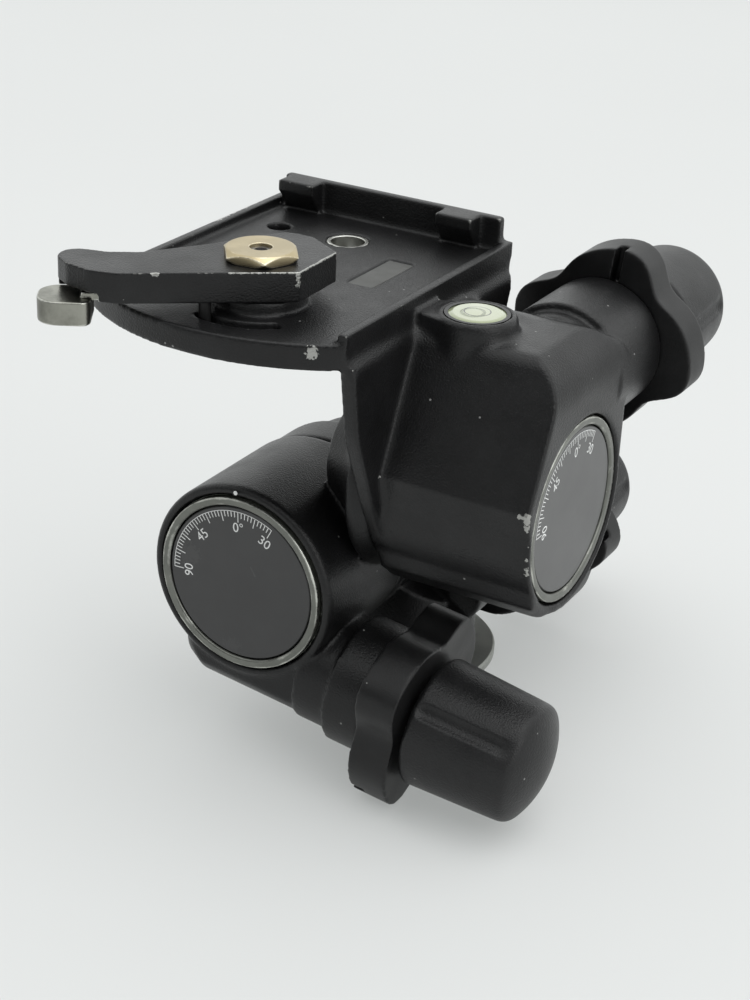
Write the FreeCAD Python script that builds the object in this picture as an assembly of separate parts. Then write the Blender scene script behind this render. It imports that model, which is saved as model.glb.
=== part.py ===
import FreeCAD, Part
import math
import os

os.makedirs("parts", exist_ok=True)

# Geared three-way tripod head.  Millimetres, +Z up.
# Origin: centre of the base disc's underside, on the pan axis.
# +X points towards the upper dial, -Y towards the lower dial.

# ---------------------------------------------------------------- sizes
BASE_R = 30.0            # bare metal base disc
BASE_T = 3.0
SKIRT_R = 23.5           # black neck just above the base disc
SKIRT_GAP = 0.4
RUN = 0.05               # radial running clearance of every bush
THREAD_R = 4.76          # 3/8 inch thread, major radius
SMALL_THREAD_R = 3.175   # 1/4 inch thread, major radius

PAN_WORM_Z = 31.0        # height of the pan wheel and its worm
SIDE_X = -11.5           # lower tilt axis, parallel to Y
SIDE_Z = 48.5
FRONT_Y = -35.2          # upper tilt axis, parallel to X
FRONT_Z = 79.2
SIDE_DIAL_Y = -70.0      # front plane of the lower dial
FRONT_DIAL_X = 68.2      # front plane of the upper dial

MODULE = 0.75            # axial module of the worm drives
WORM_R = 5.6             # pitch radius of the worms
PAN_TEETH = 46
SIDE_TEETH = 46
FRONT_TEETH = 60
POST_TOP = 40.0          # top of the pan post
WHEEL_W = 7.0            # face width of the wheels
ADDENDUM = 0.75
DEDENDUM = 0.95
BACKLASH = 0.06          # taken off each flank of worm and wheel
PRESSURE = math.radians(20.0)
THREAD_HALF = 8.0        # half length of the cut worm

ECCENTRIC = 3.2          # worm axis to sleeve axis
SLEEVE_R = 12.0
BARREL_R = 16.2          # housing barrel round the sleeve
NECK_R = 18.3            # its collar beside the release ring
BORE_R = 6.6             # eccentric bore of the sleeve
JOURNAL_R = 4.5
PAN_REACH = 38.0         # gear plane to the release ring, along the worm
SIDE_REACH = 44.6
FRONT_REACH = 48.0
SIDE_DROOP = math.radians(7.0)   # lower tilt worm dips towards its knob
RING_T = 11.5
RING_R = 21.4            # ring radius between its wings
WING_R = 27.4
RING_KNOB_GAP = 1.6
KNOB_R = 18.2
KNOB_END_R = 16.8
KNOB_L = 30.0
KNOB_DOME = 5.0
KNOB_FLUTES = 3

DIAL_R = 22.4            # printed scale disc
DIAL_T = 1.5
BEZEL_IN = 22.7
BEZEL_R = 25.7
BEZEL_T = 2.4
CARRIER_R = 14.0
SIDE_CARRIER_T = 6.2
FRONT_CARRIER_T = 8.2
SHAFT_R = 9.0
WHEEL_SEAT_R = 8.0

EAR_R = 26.7             # lower housing ear on the lower tilt axis
EAR_FRONT_Y = -29.0
EAR_BACK_Y = -13.0
CAP_R = 24.5
CAP_BACK_Y = 2.6
FLANGE_R = 28.4          # middle housing flange on the upper tilt axis
FLANGE_X0 = 16.3
FLANGE_X1 = 22.6
TOP_X0 = 23.1            # left wall of the top housing
TOP_X1 = 69.4
TOP_R = 27.6
DRUM_R = 28.3            # middle housing round the lower tilt axis
TOP_FRONT_Y = -65.0      # crease across the front of the top housing
CREASE_Z = 88.8
LEAN_TOP_Y = -49.2       # top edge of the front above the crease
BLOCK_TOP_Z = 123.9

TRAY_X0 = -50.4
TRAY_X1 = 25.2
TRAY_BACK_Y = 8.9
TRAY_FRONT_Y = -81.0
TRAY_SAG = 12.6          # bulge of the curved front edge
TRAY_Z0 = 122.3
TRAY_FLOOR_Z = 129.0
TRAY_RIM_Z = 131.5
WALL_TOP_Z = 138.2
LIP_L = 11.4              # each of the two undercut lips on the back wall
RIM_W = 2.6

LEVER_X = -8.5
LEVER_Y = -67.0
LEVER_Z0 = 132.8
LEVER_Z1 = 140.7
NUT_R = 9.0               # half across the flats of the brass nut
NUT_H = 2.7
BOLT_END_R = 2.9          # threaded end of the pivot bolt
CATCH_X = -27.0          # pivot of the safety catch in the lever
CATCH_Y = -88.0
CATCH_Z0 = LEVER_Z0 - 0.9

LEVEL_X = 39.4           # round bubble level
LEVEL_Y = -39.8
LEVEL_Z = 128.4
LEVEL_R = 7.5
HOLE_X = -15.6           # 3/8 inch thread in the tray
HOLE_Y = -11.7
INSERT_R = 5.8            # thread bush in the tray
SMALL_HOLE_X = -37.3     # 1/4 inch thread in the tray
SMALL_HOLE_Y = -12.7

V = FreeCAD.Vector
X_AXIS = V(1, 0, 0)
Y_AXIS = V(0, 1, 0)
Z_AXIS = V(0, 0, 1)


# ---------------------------------------------------------------- helpers
def cyl(radius, length, base, axis):
    """Solid cylinder from base along axis."""
    return Part.makeCylinder(radius, length, V(*base), axis)


def tube(outer, inner, length, base, axis):
    """Ring of the given length."""
    return cyl(outer, length, base, axis).cut(cyl(inner, length, base, axis))


def turned(points):
    """Solid of revolution about local Z from (radius, height) points."""
    wire = Part.makePolygon([V(r, 0, z) for r, z in points + points[:1]])
    return Part.Face(wire).revolve(V(0, 0, 0), Z_AXIS, 360)


def prism(points, origin, direction):
    """Prism from 3-D points extruded along direction."""
    wire = Part.makePolygon([V(*p) for p in points + points[:1]])
    face = Part.Face(wire)
    face.translate(V(*origin))
    return face.extrude(direction)


def rounded(points, origin, u_dir, v_dir):
    """Flat face from (u, v, corner radius) points."""
    corners = [V(*origin) + u_dir * u + v_dir * v for u, v, _ in points]
    edges = []
    last = None
    first = None
    count = len(points)
    for i in range(count):
        here = corners[i]
        before = (corners[i - 1] - here).normalize()
        after = (corners[(i + 1) % count] - here).normalize()
        radius = points[i][2]
        start = end = here
        if radius:
            half = before.getAngle(after) / 2
            start = here + before * (radius / math.tan(half))
            end = here + after * (radius / math.tan(half))
            middle = (before + after).normalize()
            near = here + middle * (radius / math.sin(half) - radius)
        if last is None:
            first = start
        else:
            edges.append(Part.makeLine(last, start))
        if radius:
            edges.append(Part.Arc(start, near, end).toShape())
        last = end
    edges.append(Part.makeLine(last, first))
    return Part.Face(Part.Wire(edges))


def frame(origin, x_dir, z_dir):
    """Placement whose local X and Z point along the given directions."""
    y_dir = z_dir.cross(x_dir)
    m = FreeCAD.Matrix(x_dir.x, y_dir.x, z_dir.x, origin.x,
                       x_dir.y, y_dir.y, z_dir.y, origin.y,
                       x_dir.z, y_dir.z, z_dir.z, origin.z,
                       0, 0, 0, 1)
    return FreeCAD.Placement(m)


def placed(shape, placement):
    """Copy of shape moved by the placement."""
    out = shape.copy()
    out.Placement = placement.multiply(out.Placement)
    return out


def fused(shapes):
    """One solid from touching or overlapping shapes."""
    out = shapes[0].multiFuse(shapes[1:]) if len(shapes) > 1 else shapes[0]
    return out.removeSplitter()


def group(shapes):
    """Several separate solids kept in one node."""
    return Part.makeCompound(shapes)


def save(name, shape):
    """Write one node."""
    solids = shape.Solids
    out = solids[0] if len(solids) == 1 else Part.makeCompound(solids)
    out.exportStep("parts/" + name + ".step")


def circle_points(count, radius, start=0.0):
    """Evenly spaced (x, y) points on a circle."""
    step = 2 * math.pi / count
    return [(radius * math.cos(start + i * step),
             radius * math.sin(start + i * step)) for i in range(count)]


# ---------------------------------------------------------------- worm drives
class Drive:
    """One worm drive: its sizes and the frame its pieces are built in."""

    def __init__(self, name, teeth, reach, centre, out_dir, along, side, carrier_t, ring_turn,
                 neck_l, flute_turn):
        self.name = name
        self.ring_turn = ring_turn
        self.neck_l = neck_l
        self.flute_turn = flute_turn
        self.carrier_t = carrier_t
        self.teeth = teeth
        self.reach = reach
        self.wheel_r = MODULE * teeth / 2
        self.distance = self.wheel_r + WORM_R
        self.tip_r = self.wheel_r + ADDENDUM
        open_half = math.sqrt(self.tip_r ** 2 - (self.distance - SLEEVE_R) ** 2)
        past_bezel = 0.0
        if name != "pan":
            reach_in = self.distance - 9.5
            past_bezel = math.sqrt((BEZEL_R + 0.7) ** 2 - reach_in ** 2)
        self.sleeve_start = max(open_half + 1.0, past_bezel)
        self.centre = centre
        self.worm = frame(centre + out_dir * self.distance, out_dir, along)
        self.side = side
        self.sleeve = self.worm.multiply(FreeCAD.Placement(
            V(0, side * ECCENTRIC, 0), FreeCAD.Rotation()))


PAN = Drive("pan", PAN_TEETH, PAN_REACH, V(0, 0, PAN_WORM_Z), X_AXIS, Y_AXIS, 1, 0.0, -15.0,
            12.0, -12.0)
SIDE_WORM_Y = SIDE_DIAL_Y + DIAL_T + SIDE_CARRIER_T + WHEEL_W / 2
FRONT_WORM_X = FRONT_DIAL_X - DIAL_T - FRONT_CARRIER_T - WHEEL_W / 2
SIDE = Drive("side", SIDE_TEETH, SIDE_REACH, V(SIDE_X, SIDE_WORM_Y, SIDE_Z),
             V(-math.sin(SIDE_DROOP), 0, -math.cos(SIDE_DROOP)),
             V(math.cos(SIDE_DROOP), 0, -math.sin(SIDE_DROOP)), 1, SIDE_CARRIER_T, -40.0,
             12.0, 230.0)
FRONT = Drive("front", FRONT_TEETH, FRONT_REACH, V(FRONT_WORM_X, FRONT_Y, FRONT_Z),
              Z_AXIS, Y_AXIS, -1, FRONT_CARRIER_T, 7.0,
              26.0, 80.0)
DRIVES = [PAN, SIDE, FRONT]
PITCH = math.pi * MODULE


def involute(angle):
    """Involute function of a pressure angle."""
    return math.tan(angle) - angle


def half_tooth(drive, radius):
    """Half the angle a wheel tooth fills at a radius."""
    base = drive.wheel_r * math.cos(PRESSURE)
    at_pitch = (PITCH / 4 - BACKLASH) / drive.wheel_r
    here = math.acos(min(1.0, base / radius))
    return at_pitch + involute(PRESSURE) - involute(here)


def wheel(drive, bore):
    """Worm wheel about local Z, one tooth gap at local +X."""
    lead = math.atan(PITCH / (2 * math.pi * WORM_R))
    radii = [drive.wheel_r - DEDENDUM, drive.wheel_r, drive.tip_r]
    halves = [half_tooth(drive, r) for r in radii]
    step = 2 * math.pi / drive.teeth
    wires = []
    for end in (-0.5, 0.5):
        twist = end * WHEEL_W * math.tan(lead) / drive.wheel_r
        pts = []
        for i in range(drive.teeth):
            mid = twist + (i + 0.5) * step
            for r, h in zip(radii, halves):
                pts.append(V(r * math.cos(mid - h), r * math.sin(mid - h), end * WHEEL_W))
            for r, h in zip(reversed(radii), reversed(halves)):
                pts.append(V(r * math.cos(mid + h), r * math.sin(mid + h), end * WHEEL_W))
        wires.append(Part.makePolygon(pts + pts[:1]))
    body = Part.makeLoft(wires, True, True)
    return body.cut(cyl(bore, WHEEL_W + 2, (0, 0, -WHEEL_W / 2 - 1), Z_AXIS))


def wheel_frame(drive):
    """Frame of the wheel: local Z along local Y of the worm, X towards the worm."""
    rot = drive.worm.Rotation
    out_dir = rot.multVec(X_AXIS)
    gear_dir = rot.multVec(Y_AXIS)
    return frame(drive.centre, out_dir, gear_dir)


def worm_shaft(drive):
    """Worm with its thread, journals and knob seat, along local Z."""
    root = WORM_R - DEDENDUM
    tip = WORM_R + ADDENDUM
    end = drive.reach + RING_T + RING_KNOB_GAP + KNOB_L - 6.0
    front = drive.sleeve_start
    core = turned([(0, -THREAD_HALF - 1.2), (root, -THREAD_HALF - 1.2),
                   (root, THREAD_HALF + 1.2), (JOURNAL_R, THREAD_HALF + 1.2),
                   (JOURNAL_R, front - 0.8), (JOURNAL_R + 1.3, front - 0.8),
                   (JOURNAL_R + 1.3, front - 0.1), (JOURNAL_R, front - 0.1),
                   (JOURNAL_R, drive.reach + RING_T), (JOURNAL_R - 0.5, drive.reach + RING_T),
                   (JOURNAL_R - 0.5, end), (0, end)])
    length = 2 * THREAD_HALF - PITCH
    helix = Part.makeHelix(PITCH, length, WORM_R)
    helix.translate(V(0, 0, -length / 2))
    slope = math.tan(PRESSURE)
    root_half = PITCH / 4 - BACKLASH + (DEDENDUM + 0.15) * slope
    tip_half = PITCH / 4 - BACKLASH - ADDENDUM * slope
    z0 = -length / 2
    pts = [V(root - 0.15, 0, z0 - root_half), V(tip, 0, z0 - tip_half),
           V(tip, 0, z0 + tip_half), V(root - 0.15, 0, z0 + root_half)]
    profile = Part.makePolygon(pts + pts[:1])
    sweep = Part.Wire(helix).makePipeShell([profile], True, True)
    # phase: a thread crest faces the wheel's tooth gap at local -X, height 0
    turns = length / 2 / PITCH
    sweep.rotate(V(0, 0, 0), Z_AXIS, 180.0 - 360.0 * turns)
    pin = pin_body(drive.reach + RING_T + RING_KNOB_GAP)
    return placed(core.fuse(sweep).cut(pin), drive.worm)


def worm_sleeve(drive):
    """Eccentric sleeve: round outside on the sleeve axis, bored on the worm axis."""
    length = drive.reach + RING_T - drive.sleeve_start
    body = cyl(SLEEVE_R, length, (0, 0, drive.sleeve_start), Z_AXIS)
    bore = cyl(BORE_R, length, (0, -drive.side * ECCENTRIC, drive.sleeve_start), Z_AXIS)
    return placed(body.cut(bore), drive.sleeve)


def worm_bushes(drive):
    """Two bushes that carry the worm in its sleeve."""
    far = drive.reach + RING_T - 9.0
    pieces = [tube(BORE_R, JOURNAL_R + RUN, 9.0, (0, 0, z), Z_AXIS)
              for z in (drive.sleeve_start, far)]
    return placed(group(pieces), drive.worm)


def ring_outline():
    """Closed outline of the release ring: four wings, each with one steep flank."""
    pts = []
    count = 64
    middle = (WING_R + RING_R) / 2
    swing = (WING_R - RING_R) / 2
    for i in range(count):
        angle = 2 * math.pi * i / count
        wave = 4 * angle + 1.56
        lean = 0.46 * math.sin(wave) - 0.19 * math.cos(wave)
        radius = middle + swing * math.sin(wave - lean)
        pts.append(V(radius * math.cos(angle), radius * math.sin(angle), 0))
    return pts


def release_ring(drive):
    """Winged ring that turns the sleeve and lifts the worm out of mesh."""
    curve = Part.BSplineCurve()
    curve.interpolate(ring_outline(), True)
    face = Part.Face(Part.Wire(curve.toShape()))
    body = face.extrude(V(0, 0, RING_T))
    body = body.cut(cyl(SLEEVE_R, RING_T, (0, 0, 0), Z_AXIS))
    slot = Part.makeBox(12.0, 2.4, 5.0, V(WING_R - 11.0, -1.2, -1.0))
    body = body.cut(slot)
    body.translate(V(0, 0, drive.reach))
    body.rotate(V(0, 0, 0), Z_AXIS, drive.ring_turn)
    return placed(body, drive.sleeve)


def ring_spring(drive):
    """Torsion spring that turns the ring back, coiled round the sleeve."""
    height = 5.2
    base = (0, 0, drive.reach - 0.7 - height)
    return placed(coil(SLEEVE_R + 1.4, 0.55, 1.6, height, base), drive.sleeve)


def knob(drive):
    """Large fluted knob, open towards the ring, with a central hub."""
    z0 = drive.reach + RING_T + RING_KNOB_GAP
    z1 = z0 + KNOB_L
    wall = 2.6
    ball_r = (KNOB_END_R ** 2 + KNOB_DOME ** 2) / (2 * KNOB_DOME)
    skirt = turned([(0, z0), (KNOB_R - 1.0, z0), (KNOB_R, z0 + 1.2), (KNOB_END_R, z1), (0, z1)])
    dome = Part.makeSphere(ball_r, V(0, 0, z1 + KNOB_DOME - ball_r))
    dome = dome.common(cyl(KNOB_END_R, KNOB_DOME + 1.0, (0, 0, z1 - 0.5), Z_AXIS))
    body = fused([skirt, dome])
    hollow = turned([(7.0, z0), (KNOB_R - wall, z0), (KNOB_END_R - wall, z1 - 4.0),
                     (7.0, z1 - 4.0)])
    body = body.cut(hollow)
    seat = cyl(JOURNAL_R - 0.5, KNOB_L - 6.0, (0, 0, z0), Z_AXIS)
    body = body.cut(seat)
    for x, y in circle_points(KNOB_FLUTES, 1.0):
        flute = flute_cutter(z0)
        flute.rotate(V(0, 0, 0), Z_AXIS, math.degrees(math.atan2(y, x)) + drive.flute_turn)
        body = body.cut(flute)
    body = body.cut(pin_body(z0))
    return placed(body, drive.worm)


def flute_cutter(z0):
    """One long shallow round-ended groove on the knob's side."""
    radius = 3.2
    lean = math.atan((KNOB_R - KNOB_END_R) / KNOB_L)
    depth = 1.3
    length = KNOB_L - 7.0
    start = V(KNOB_R + radius - depth, 0, z0 + 3.6)
    bar = cyl(radius, length, (0, 0, 0), Z_AXIS)
    low = Part.makeSphere(radius, V(0, 0, 0))
    high = Part.makeSphere(radius, V(0, 0, length))
    out = fused([bar, low, high])
    out.rotate(V(0, 0, 0), Y_AXIS, -math.degrees(lean))
    out.translate(start)
    return out


def pin_body(z0):
    """Cross pin through hub and shaft."""
    return cyl(1.2, 14.0, (-7.0, 0, z0 + 8.0), X_AXIS)


def knob_pin(drive):
    """Cross pin that locks the knob on the worm."""
    z0 = drive.reach + RING_T + RING_KNOB_GAP
    return placed(pin_body(z0), drive.worm)


def barrel_pieces(drive):
    """Outside of the housing barrel round the sleeve, and the blind worm end."""
    start = drive.sleeve_start - 1.5
    body = cyl(BARREL_R, drive.reach - start - 0.5, (0, 0, start), Z_AXIS)
    neck = cyl(NECK_R, drive.neck_l, (0, 0, drive.reach - 0.5 - drive.neck_l), Z_AXIS)
    blind = cyl(10.0, start + 12.5, (0, 0, -12.5), Z_AXIS)
    return [placed(body, drive.sleeve), placed(neck, drive.sleeve), placed(blind, drive.worm)]


def barrel_cuts(drive):
    """Room inside a housing for worm, sleeve and ring spring."""
    bore = cyl(SLEEVE_R + RUN, 80.0, (0, 0, drive.sleeve_start - 0.4), Z_AXIS)
    spring = cyl(SLEEVE_R + 2.6, 7.0, (0, 0, drive.reach - 7.0), Z_AXIS)
    room = cyl(7.6, drive.sleeve_start + 10.0, (0.85, drive.side * 0.4, -10.0), Z_AXIS)
    shift = cyl(7.6, drive.sleeve_start + 10.0, (0.0, 0.0, -10.0), Z_AXIS)
    return [placed(bore, drive.sleeve), placed(spring, drive.sleeve),
            placed(room, drive.worm), placed(shift, drive.worm)]


# ---------------------------------------------------------------- base
def base_plate():
    """Bare metal disc with a chamfered rim and four countersunk screw holes."""
    body = turned([(0, 0), (BASE_R - 0.6, 0), (BASE_R, 0.6), (BASE_R, BASE_T - 0.6),
                   (BASE_R - 0.6, BASE_T), (0, BASE_T)])
    return cut_all(body, [cyl(9.0, BASE_T, (0, 0, 0), Z_AXIS)] + base_screw_shapes())


def cut_all(body, tools):
    """Body with every tool cut away."""
    return body.cut(Part.makeCompound(tools)) if len(tools) > 1 else body.cut(tools[0])


def base_screw_shapes():
    """Four countersunk screws from below into the pan post."""
    shapes = []
    for x, y in circle_points(4, 15.5, math.radians(45)):
        screw = turned([(0, 0), (3.0, 0), (1.5, 1.5), (1.5, 5.6), (0, 5.6)])
        screw.translate(V(x, y, 0))
        shapes.append(screw)
    return shapes


def pan_post():
    """Turned post: foot flange, pan journals, wheel seat and tripod thread."""
    half = WHEEL_W / 2
    body = turned([(0, 0), (9.0, 0), (9.0, BASE_T), (20.0, BASE_T), (20.0, 6.0),
                   (12.0, 6.0), (12.0, PAN_WORM_Z - half), (10.0, PAN_WORM_Z - half),
                   (10.0, PAN_WORM_Z + half), (8.0, PAN_WORM_Z + half), (8.0, POST_TOP), (0, POST_TOP)])
    return cut_all(body, [cyl(THREAD_R, 14.0, (0, 0, 0), Z_AXIS)] + base_screw_shapes())


def pan_bushes():
    """Lower flanged bush and upper plain bush of the pan axis."""
    low = fused([tube(14.0, 12.0 + RUN, 5.0, (0, 0, 7.0), Z_AXIS),
                 tube(17.0, 12.0 + RUN, 0.9, (0, 0, 6.1), Z_AXIS)])
    foot = PAN_WORM_Z + WHEEL_W / 2 + 0.9
    high = tube(10.0, 8.0 + RUN, POST_TOP - foot, (0, 0, foot), Z_AXIS)
    return group([low, high])


def pan_cover():
    """Ring that closes the lower housing from below and carries the lower bush."""
    body = tube(21.0, 14.0, 5.0, (0, 0, 7.0), Z_AXIS)
    return cut_all(body, cover_screw_shapes())


def cover_screw_shapes():
    """Three screws that hold the cover in the lower housing."""
    shapes = []
    for x, y in circle_points(3, 19.2, math.radians(195)):
        screw = turned([(0, 7.0), (1.6, 7.0), (1.6, 9.0), (1.0, 9.0), (1.0, 16.0), (0, 16.0)])
        screw.translate(V(x, y, 0))
        shapes.append(screw)
    return shapes


# ---------------------------------------------------------------- lower housing
def side_cyl(radius, y0, y1):
    """Cylinder round the lower tilt axis."""
    return cyl(radius, y1 - y0, (SIDE_X, y0, SIDE_Z), Y_AXIS)


def front_cyl(radius, x0, x1):
    """Cylinder round the upper tilt axis."""
    return cyl(radius, x1 - x0, (x0, FRONT_Y, FRONT_Z), X_AXIS)


def turn_y(points):
    """Solid of revolution round the lower tilt axis from (radius, y) points."""
    return placed(turned(points), frame(V(SIDE_X, 0, SIDE_Z), X_AXIS, Y_AXIS))


def turn_x(points):
    """Solid of revolution round the upper tilt axis from (radius, x) points."""
    return placed(turned(points), frame(V(0, FRONT_Y, FRONT_Z), Y_AXIS, X_AXIS))


def swing_room():
    """Space the middle and top housings sweep beside the ear at full side tilt."""
    ring = side_cyl(90.0, -31.0, -11.8).cut(side_cyl(EAR_R + 1.0, -31.0, -11.8))
    low = math.radians(-32)
    wedge = prism([(0, 0, 0), (120 * math.cos(low), 0, 120 * math.sin(low)), (120, 0, 120)],
                  (SIDE_X, -32.0, SIDE_Z), V(0, 20.2, 0))
    return ring.common(wedge)


def shaft_screw_shapes():
    """Screw that draws the lower tilt shaft into the ear from behind."""
    head = side_cyl(5.5, -4.0, 0.5)
    shank = side_cyl(3.0, -20.0, -4.0)
    return [fused([head, shank])]


def lower_housing():
    """Pan housing, its barrel and the ear that carries the lower tilt shaft."""
    skirt = turned([(0, BASE_T + SKIRT_GAP), (SKIRT_R, BASE_T + SKIRT_GAP), (SKIRT_R, 15.0),
                    (26.0, 19.0), (26.0, 37.0), (23.0, 41.0), (0, 41.0)])
    ear = turn_y([(0, EAR_FRONT_Y), (EAR_R - 1.5, EAR_FRONT_Y), (EAR_R, EAR_FRONT_Y + 1.5),
                  (EAR_R, EAR_BACK_Y - 2.0), (EAR_R - 1.5, EAR_BACK_Y - 0.5),
                  (CAP_R - 2.5, EAR_BACK_Y - 0.5), (CAP_R - 2.5, EAR_BACK_Y + 1.5),
                  (CAP_R, EAR_BACK_Y + 1.5), (CAP_R, CAP_BACK_Y - 4.0),
                  (CAP_R - 4.0, CAP_BACK_Y), (0, CAP_BACK_Y)])
    web = Part.makeBox(36.0, 26.0, 20.0, V(SIDE_X - 17.0, -25.0, 24.0))
    body = fused([skirt, ear, web] + barrel_pieces(PAN))
    body = body.cut(swing_room())
    pan_gear = PAN_WORM_Z + WHEEL_W / 2
    cuts = [cyl(21.0, 8.7, (0, 0, 3.3), Z_AXIS),
            cyl(PAN.tip_r + 1.4, pan_gear + 0.9 - 11.9, (0, 0, 11.9), Z_AXIS),
            cyl(10.0, POST_TOP + 0.2 - pan_gear, (0, 0, pan_gear), Z_AXIS),
            side_cyl(SHAFT_R, EAR_FRONT_Y - 1.0, -8.0),
            side_cyl(7.0, -4.0, CAP_BACK_Y + 1.0), side_cyl(3.0, -20.0, -4.0)]
    return cut_all(body, cuts + barrel_cuts(PAN) + cover_screw_shapes())


def rear_cap():
    """Plug over the shaft screw at the back of the ear."""
    return side_cyl(7.0, 0.9, CAP_BACK_Y)


def tilt_shaft(drive, dial, sign, length):
    """Shaft profile points from its dial end: (radius, offset from the dial plane)."""
    wheel_near = DIAL_T + drive.carrier_t
    wheel_far = wheel_near + WHEEL_W
    pts = [(0, wheel_near - 1.5), (WHEEL_SEAT_R, wheel_near - 1.5),
           (WHEEL_SEAT_R, wheel_far), (SHAFT_R, wheel_far), (SHAFT_R, length), (0, length)]
    return [(r, dial + sign * d) for r, d in pts]


def side_shaft():
    """Lower tilt shaft, held in the ear."""
    body = turn_y(tilt_shaft(SIDE, SIDE_DIAL_Y, 1, -8.0 - SIDE_DIAL_Y))
    return cut_all(body, shaft_screw_shapes() + carrier_screw_shapes(SIDE))


def dial_frame(drive):
    """Frame on the dial plane: local Z points out of the dial, X is up."""
    if drive.name == "side":
        return frame(V(SIDE_X, SIDE_DIAL_Y, SIDE_Z), Z_AXIS, V(0, -1, 0))
    return frame(V(FRONT_DIAL_X, FRONT_Y, FRONT_Z), Z_AXIS, X_AXIS)


def tilt_wheel(drive):
    """Worm wheel of a tilt axis."""
    return placed(wheel(drive, WHEEL_SEAT_R), wheel_frame(drive))


def pan_wheel():
    """Worm wheel fixed on the pan post."""
    return placed(wheel(PAN, 10.0), wheel_frame(PAN))


def dial_carrier(drive):
    """Metal disc that clamps the wheel and carries the scale."""
    body = cyl(CARRIER_R, drive.carrier_t, (0, 0, -DIAL_T - drive.carrier_t), Z_AXIS)
    seat = cyl(WHEEL_SEAT_R, 1.5, (0, 0, -DIAL_T - drive.carrier_t), Z_AXIS)
    body = placed(body.cut(seat), dial_frame(drive))
    return cut_all(body, carrier_screw_shapes(drive))


def carrier_screw_shapes(drive):
    """Three countersunk screws from the carrier into the shaft end."""
    shapes = []
    top = -DIAL_T
    for x, y in circle_points(3, 4.6):
        end = top - drive.carrier_t - 7.0
        screw = turned([(0, top), (2.6, top), (1.3, top - 1.3), (1.3, end), (0, end)])
        screw.translate(V(x, y, 0))
        shapes.append(placed(screw, dial_frame(drive)))
    return shapes


def dial_plate(drive):
    """Scale disc, level with the housing's end."""
    body = turned([(0, -DIAL_T), (DIAL_R, -DIAL_T), (DIAL_R, -0.3), (DIAL_R - 0.3, 0), (0, 0)])
    return placed(body, dial_frame(drive))


def dial_bezel(drive):
    """Trim ring round the scale, seated in the housing's end."""
    body = turned([(BEZEL_IN, -BEZEL_T), (BEZEL_R, -BEZEL_T), (BEZEL_R, 0.2),
                   (BEZEL_R - 0.5, 0.6), (BEZEL_IN + 0.5, 0.6), (BEZEL_IN, 0.1)])
    return placed(body, dial_frame(drive))


def dial_cuts(drive):
    """Bezel seat, dial room, wheel room and casting pocket round the shaft boss."""
    wheel_far = DIAL_T + drive.carrier_t + WHEEL_W
    shapes = [cyl(BEZEL_R, BEZEL_T + 2.0, (0, 0, -BEZEL_T), Z_AXIS),
              cyl(BEZEL_IN + 0.2, 7.0, (0, 0, -6.0), Z_AXIS),
              cyl(drive.tip_r + 1.5, wheel_far + 0.5, (0, 0, -wheel_far - 0.5), Z_AXIS),
              tube(drive.tip_r + 1.0, 15.5, 12.0, (0, 0, -wheel_far - 12.0), Z_AXIS),
              cyl(12.0, 60.0, (0, 0, -wheel_far - 60.0), Z_AXIS)]
    return [placed(s, dial_frame(drive)) for s in shapes]


def tilt_bushes(drive, far_face):
    """Two flanged bushes; far_face is the housing's far face behind the dial."""
    wheel_far = DIAL_T + drive.carrier_t + WHEEL_W
    near = fused([tube(12.0, SHAFT_R + RUN, 9.0, (0, 0, -wheel_far - 9.5), Z_AXIS),
                  tube(14.5, SHAFT_R + RUN, 0.45, (0, 0, -wheel_far - 0.5), Z_AXIS)])
    far = fused([tube(12.0, SHAFT_R + RUN, 8.5, (0, 0, -far_face), Z_AXIS),
                 tube(15.0, SHAFT_R + RUN, 0.45, (0, 0, -far_face - 0.45), Z_AXIS)])
    return placed(group([near, far]), dial_frame(drive))


# ---------------------------------------------------------------- middle housing
def mid_housing():
    """Round housing of the lower tilt axis with the flange of the upper one."""
    drum = turn_y([(0, SIDE_DIAL_Y), (DRUM_R - 1.0, SIDE_DIAL_Y), (DRUM_R, SIDE_DIAL_Y + 1.2),
                   (DRUM_R, EAR_FRONT_Y - 0.5), (0, EAR_FRONT_Y - 0.5)])
    cone = turn_x([(0, 2.0), (14.0, 2.0), (19.0, 10.0), (FLANGE_R - 4.0, FLANGE_X0 - 0.5),
                   (FLANGE_R, FLANGE_X0), (FLANGE_R, FLANGE_X0 + 2.0),
                   (FLANGE_R - 1.6, FLANGE_X1), (0, FLANGE_X1)])
    start = SIDE.sleeve_start - 1.5
    under = placed(turned([(0, -18.0), (8.0, -18.0), (12.5, -15.5), (15.2, -10.0),
                           (15.2, start), (0, start)]), SIDE.sleeve)
    front_space = Part.makeBox(200, 40, 200, V(-100, SIDE_DIAL_Y - 38.8, -60))
    under = under.cut(front_space)
    body = fused([drum, cone, under] + barrel_pieces(SIDE))
    body = body.cut(side_cyl(DRUM_R, SIDE_DIAL_Y - 20.0, SIDE_DIAL_Y))
    body = body.cut(side_cyl(EAR_R + 0.6, EAR_FRONT_Y - 0.5, 40.0))
    seat = turn_x([(0, 6.0), (SHAFT_R, 6.0), (SHAFT_R, 18.6), (20.0, 18.6), (20.0, 30.0), (0, 30.0)])
    return cut_all(body, dial_cuts(SIDE) + barrel_cuts(SIDE) + [seat] + shaft_flange_screws())


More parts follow.
